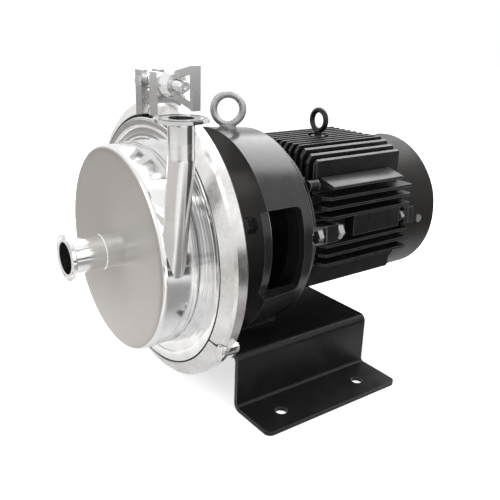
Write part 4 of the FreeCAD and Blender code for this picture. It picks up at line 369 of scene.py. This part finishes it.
slot_finish = {
    "stainless_satin": satin,
    "stainless_bright": polished,
    "black_paint": smooth_black,
    "cover_paint": cover_black,
    "zinc_steel": mottled("zinc_plate", grey(0.36, 0.0), grey(0.46, -0.01), 0.42, 0.56, spots=260),
    "machined_steel": mottled("machined_steel", grey(0.42), grey(0.52), 0.22, 0.36, spots=700,
                              lines=(1, 0.05, 1)),
    "laminated_steel": mottled("laminated_steel", grey(0.16), grey(0.3), 0.35, 0.5, spots=900,
                               lines=(0.02, 1, 0.02)),
    "cast_aluminium": mottled("cast_aluminium", grey(0.5), grey(0.6), 0.4, 0.55, spots=300),
    "copper_winding": mottled("copper_winding", (0.56, 0.24, 0.09, 1), (0.66, 0.32, 0.14, 1), 0.25, 0.4,
                              spots=500, lines=(0.1, 1, 1)),
    "seal_rubber": mottled("seal_rubber", grey(0.02), grey(0.035), 0.5, 0.65, spots=400, metal=0.0),
    "seal_ceramic": mottled("seal_ceramic", grey(0.72, 0.04), grey(0.78, 0.03), 0.12, 0.2, spots=200,
                            metal=0.0),
    "fan_plastic": mottled("fan_plastic", grey(0.03), grey(0.045), 0.4, 0.55, spots=300, metal=0.0),
}

# %% [markdown]
# ## Handing out the finishes
#
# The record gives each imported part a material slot, and most parts take their slot's finish. Some look
# different from the rest of their slot on the real pump: one stainless part is brushed, another
# turned. They are listed by name. Only a part's material changes here, and never its mesh.

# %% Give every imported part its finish
finished_alone = (
    (front_satin, ("casing_front",)),
    (casing_polish, ("casing",)),
    (inlet_polish, ("inlet_nozzle",)),
    (brushed, ("discharge_tube",)),
    (foot_black, ("foot_bracket",)),
    (cast_black, ("motor_frame", "rear_shield", "motor_eye_bolt")),
    (shield_black, ("motor_flange_shield",)),
    (turned, ("clamp_right_segment", "clamp_left_segment", "clamp_bottom_segment")),
    (latch_steel, ("latch_ear_left", "wing_nut")),
    (bright_latch, ("latch_ear_right", "swing_bolt", "swing_bolt_pin", "clamp_washer", "wing_nut_hub")),
)
own_finish = {node: finish for finish, nodes in finished_alone for node in nodes}
slot_of = {part["node"]: part["material_slot"] for part in frame["record"]["subparts"]}

for name, part in frame["nodes"].items():
    part.data.materials.clear()
    part.data.materials.append(own_finish.get(name) or slot_finish[slot_of[name]])
print("finished", len(frame["nodes"]), "packed parts,", len(own_finish), "of them with their own finish")

# %% [markdown]
# ## Helpers for new pieces
#
# The pump has a few small forms that its drawing leaves out. Each starts as one of Blender's
# primitives and is shaped in edit mode, as by hand. Three things are the same for all of them: how a
# piece starts, how some of its corners are picked out by their place, and how it ends. At its end a
# piece has clean faces, its finish, and a body of the pump that it moves with.

# %% Start a piece, pick its corners, finish it
merge_distance = 0.00001
smooth_below = math.radians(35)


def start_piece(name, location, primitive="plane", **settings):
    """Adds a primitive at its place and names it."""
    bpy.ops.object.select_all(action="DESELECT")
    getattr(bpy.ops.mesh, "primitive_%s_add" % primitive)(location=location, **settings)
    made = bpy.context.object
    made.name = name
    return made


def select_where(piece, test):
    """Selects the vertices of the piece that pass the test, in edit mode."""
    bpy.ops.mesh.select_all(action="DESELECT")
    bpy.ops.object.mode_set(mode="OBJECT")
    for corner in piece.data.vertices:
        corner.select = test(corner.co)
    bpy.ops.object.mode_set(mode="EDIT")


def finish_piece(piece, material, body):
    """Turns the faces outwards, puts the object at the origin, paints it and lets it ride."""
    bpy.ops.object.mode_set(mode="EDIT")
    bpy.ops.mesh.select_all(action="SELECT")
    bpy.ops.mesh.remove_doubles(threshold=merge_distance)
    bpy.ops.mesh.normals_make_consistent(inside=False)
    bpy.ops.object.mode_set(mode="OBJECT")
    bpy.ops.object.transform_apply(location=True, rotation=True, scale=True)
    bpy.ops.object.shade_smooth_by_angle(angle=smooth_below)
    piece.data.materials.append(material)
    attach(piece, body)
    print(piece.name, "has", len(piece.data.polygons), "faces")


# %% [markdown]
# ## The raised band on the casing's ring
#
# Between the drum and the clamp, the casing's ring isn't flat. It steps up once, with a rounded corner
# that draws a bright line all the way round. The band sits about a millimetre and a half off centre, so
# the gap to the clamp is open at the lower left and all but shut at the upper right. A torus or a
# cylinder would have the wrong section, so we draw the section as a small plane and spin it about the
# shaft's line.

# %% Spin the band
ring_face = 0.048
band_inner, band_outer, band_height = 0.1285, 0.1395, 0.0016
band_width = band_outer - band_inner
band_round, round_steps, spin_steps = 0.0007, 3, 160
off_centre_x, off_centre_z = 0.0012, 0.0008

band = start_piece("casing_band", (0, 0, 0), size=1)
bpy.ops.object.mode_set(mode="EDIT")
bpy.ops.transform.resize(value=(band_width, band_height, 1))
bpy.ops.transform.translate(value=(band_inner + band_width / 2, ring_face - band_height / 2, 0))
bpy.ops.mesh.select_all(action="SELECT")
bpy.ops.mesh.delete(type="ONLY_FACE")
bpy.ops.mesh.select_all(action="SELECT")
bpy.ops.mesh.bevel(offset=band_round, segments=round_steps, affect="VERTICES")
bpy.ops.mesh.select_all(action="SELECT")
bpy.ops.mesh.spin(steps=spin_steps, angle=2 * math.pi, center=(0, 0, 0), axis=(0, 1, 0), use_auto_merge=True)
bpy.ops.mesh.select_all(action="SELECT")
bpy.ops.transform.translate(value=(off_centre_x, 0, shaft_height + off_centre_z))
finish_piece(band, casing_polish, "pump_and_motor")

# %% [markdown]
# ## The sloped ledge on the motor
#
# Along the motor's side, above the level fins, the casting has a ledge whose top leans outwards. It is
# the one place on the motor that mirrors the lamps overhead. A box with its outer top edge pulled down
# is all it needs, with a small round on its edges.

# %% Lay the ledge
ledge_middle = (0.0925, 0.2845)
ledge_width, ledge_length = 0.0240, 0.1160
ledge_low, ledge_rise, ledge_drop = 0.2443, 0.0070, 0.0062
ledge_round = 0.0007

ledge = start_piece("motor_side_ledge", (*ledge_middle, ledge_low + ledge_rise / 2), "cube", size=1)
bpy.ops.object.mode_set(mode="EDIT")
bpy.ops.mesh.select_all(action="SELECT")
bpy.ops.transform.resize(value=(ledge_width, ledge_length, ledge_rise))
select_where(ledge, lambda corner: corner.x > 0 and corner.z > 0)
bpy.ops.transform.translate(value=(0, 0, -ledge_drop))
bpy.ops.mesh.select_all(action="SELECT")
bpy.ops.mesh.bevel(offset=ledge_round, segments=2, affect="EDGES")
bpy.ops.object.mode_set(mode="OBJECT")
finish_piece(ledge, ledge_black, "pump_and_motor")

# %% [markdown]
# ## The clamp bolt's thread
#
# The bolt that holds the clamp shut has a coarse metric thread, and its end stands in the wing nut's
# window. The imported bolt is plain: it stops at the root of the thread. A thread is one tooth drawn out
# along a screw line, so we draw the tooth once as a small plane, narrow its outer edge, and let the
# Screw modifier wind it round the bolt.

# %% Wind the thread
bolt_line = (0.063, 0.3565)
thread_start, thread_end = 0.0215, 0.0500
thread_root, thread_crest = 0.0049, 0.0059
tooth_middle = (thread_crest + thread_root) / 2
pitch, steps_a_turn = 0.00175, 24
tooth_foot, tooth_top = 0.9, 0.2    # the foot's share of the pitch, and the top's share of the foot

thread = start_piece("swing_bolt_thread", (thread_start, *bolt_line), size=1, rotation=(math.pi / 2, 0, 0))
bpy.ops.object.transform_apply(location=False, rotation=True, scale=False)
bpy.ops.object.mode_set(mode="EDIT")
bpy.ops.mesh.select_all(action="SELECT")
bpy.ops.transform.resize(value=(pitch * tooth_foot, 1, thread_crest - thread_root))
bpy.ops.transform.translate(value=(0, 0, tooth_middle))
select_where(thread, lambda corner: corner.z > tooth_middle)
bpy.ops.transform.resize(value=(tooth_top, 1, 1))
bpy.ops.mesh.select_all(action="SELECT")
bpy.ops.mesh.delete(type="ONLY_FACE")
bpy.ops.object.mode_set(mode="OBJECT")

winding = thread.modifiers.new("winding", "SCREW")
winding.axis, winding.angle, winding.screw_offset = "X", 2 * math.pi, pitch
winding.steps = winding.render_steps = steps_a_turn
winding.iterations = round((thread_end - thread_start) / pitch) - 1
winding.use_smooth_shade = False
winding.use_merge_vertices, winding.merge_threshold = True, merge_distance
bpy.ops.object.modifier_apply(modifier=winding.name)
bpy.ops.object.mode_set(mode="EDIT")
bpy.ops.mesh.select_all(action="SELECT")
bpy.ops.mesh.fill_holes(sides=0)
bpy.ops.object.mode_set(mode="OBJECT")
finish_piece(thread, bright_latch, "swing_bolt")

# %% [markdown]
# ## The floor
#
# Polished steel has no look of its own: it shows the room. So the room is built for the steel, and
# starts with a white floor. A lit floor would still be grey towards the back. It gets a glow that only
# the camera, glass and, more faintly, mirrors see, so it looks white and keeps the pump's shadow.

# %% Lay the floor
floor_size = 12
floor_glow, mirrored_glow = 0.65, 0.25

bpy.ops.mesh.primitive_plane_add(size=floor_size)
floor = bpy.context.object
floor.name = "studio_floor"
ground = Finish("studio_floor")
path = ground.add("ShaderNodeLightPath").outputs
straight = ground.larger(path["Is Camera Ray"], path["Is Transmission Ray"])
glow = ground.larger(ground.product(straight, floor_glow),
                     ground.product(path["Is Glossy Ray"], mirrored_glow))
matt = ground.add("ShaderNodeBsdfDiffuse", {"Color": grey(0.8)})
white = ground.add("ShaderNodeEmission", {"Color": grey(1.0), "Strength": glow})
both = ground.add("ShaderNodeAddShader", {0: matt.outputs[0], 1: white.outputs[0]})
ground.add("ShaderNodeOutputMaterial", {"Surface": both.outputs[0]})
floor.data.materials.append(ground.owner)
print("the floor is", floor_size, "metres square")

# %% [markdown]
# ## The room's light
#
# The camera, glass and mirrors see a white surround. Everything else is lit by a softer one, so the
# white never turns into more light on the pump. A Light Path node tells the two apart.

# %% Light the room
room_light = grey(0.55, 0.02)

room = Finish("studio_room", "worlds")
path = room.add("ShaderNodeLightPath").outputs
seen = room.larger(room.larger(path["Is Camera Ray"], path["Is Glossy Ray"]), path["Is Transmission Ray"])
soft = room.add("ShaderNodeBackground", {"Color": room_light})
bright = room.add("ShaderNodeBackground", {"Color": grey(1.0)})
either = room.add("ShaderNodeMixShader", {0: seen, 1: soft.outputs[0], 2: bright.outputs[0]})
room.add("ShaderNodeOutputWorld", {"Surface": either.outputs[0]})
bpy.context.scene.world = room.owner
print("the room's light is", [round(share, 3) for share in room_light[:3]])

# %% [markdown]
# ## Cards that only mirrors see
#
# In a white room, polished steel would be white all over. Grey cards give the drum and the tubes their
# darker bands, as flags do in a studio, and one bright card lays a broad soft light on the lantern's
# paint. A card is a plane that glows in its own colour. It shows in reflections and nowhere else, so it
# can stand anywhere without lighting a matt surface or casting a shadow.

# %% Hang the cards
card_edge = 0.5
middle = (0, 0.2, 0.18)
white_floor = grey(0.86)
mauve = (0.36, 0.27, 0.31, 1)


def card(name, centre, facing, width, height, colour, rim=None, fade=0.2):
    """A card at centre that faces a point.

    Without a rim colour it is plain. With one, it fades into that colour. The fade starts at that share
    of its width from the middle, and is complete at the edge.
    """
    bpy.ops.object.select_all(action="DESELECT")
    bpy.ops.mesh.primitive_plane_add(size=1)
    made = bpy.context.object
    made.name = name
    toward = (Vector(facing) - Vector(centre)).to_track_quat("Z", "Y").to_matrix().to_4x4()
    made.matrix_world = Matrix.Translation(centre) @ toward @ Matrix.Diagonal((width, height, 1, 1))
    finish = Finish(name)
    if rim:
        from_middle = finish.vector("LENGTH", finish.place)["Value"]
        share = finish.span(from_middle, fade, card_edge, steps="SMOOTHSTEP")
        colour = finish.blend(share, colour, rim)
    shine = finish.add("ShaderNodeEmission", {"Color": colour, "Strength": 1.0})
    finish.add("ShaderNodeOutputMaterial", {"Surface": shine.outputs[0]})
    made.data.materials.append(finish.owner)
    made.visible_camera = made.visible_diffuse = made.visible_shadow = False
    made.visible_transmission = made.visible_volume_scatter = False
    print(name, "is", width, "by", height, "metres")


def floor_card(name, x, y, width, depth, colour, rim=None, lift=0.003):
    """A card that lies just above the floor and faces up."""
    card(name, (x, y, lift), (x, y, lift + 1), width, depth, colour, rim)


floor_card("warm_floor_card", -0.35, -0.6, 1.5, 0.9, grey(0.74, 0.03))
floor_card("drum_floor_card", 0.36, 0.10, 0.64, 0.34, grey(0.36), white_floor)
floor_card("mauve_floor_card", 0.262, 0.208, 0.13, 0.085, mauve, lift=0.004)
floor_card("dark_floor_card", 0.60, 0.64, 0.84, 0.72, grey(0.08))
floor_card("rim_floor_card", 0.78, -0.76, 0.8, 0.7, grey(0.16), white_floor)
card("dark_side_card", (0.95, 0.8, 0.12), middle, 1.1, 0.24, grey(0.08))
card("left_card", (-1.35, -0.60, 0.13), (-0.05, 0.05, 0.2), 0.9, 0.26, grey(0.34, 0.04))
card("lantern_light", (-0.28, 1.0, 1.05), (0.05, 0.16, 0.28), 1.4, 1.0, grey(5.0), grey(1.0), fade=0.33)

# %% [markdown]
# ## The lamps
#
# Three soft boxes light the pump at a plain level, from above and behind, from the front, and from the
# right. Square area lamps are used because their edges stay soft in the gloss of the paint, where a
# point lamp would leave a hard white dot.

# %% Switch on the lamps
def lamp(name, place, target, size, watts):
    """A square soft box that faces target."""
    bpy.ops.object.light_add(type="AREA", location=place)
    made = bpy.context.object
    made.name = name
    made.data.shape = "SQUARE"
    made.data.size = size
    made.data.energy = watts
    made.rotation_euler = (Vector(target) - Vector(place)).to_track_quat("-Z", "Y").to_euler()
    print(name, "gives", watts, "watts")


lamp("top_box", (-0.55, 0.85, 1.3), middle, 1.4, 30)
lamp("front_box", (0.2, -1.6, 1.2), middle, 1.0, 10)
lamp("side_box", (1.7, 0.2, 1.1), middle, 0.9, 8)
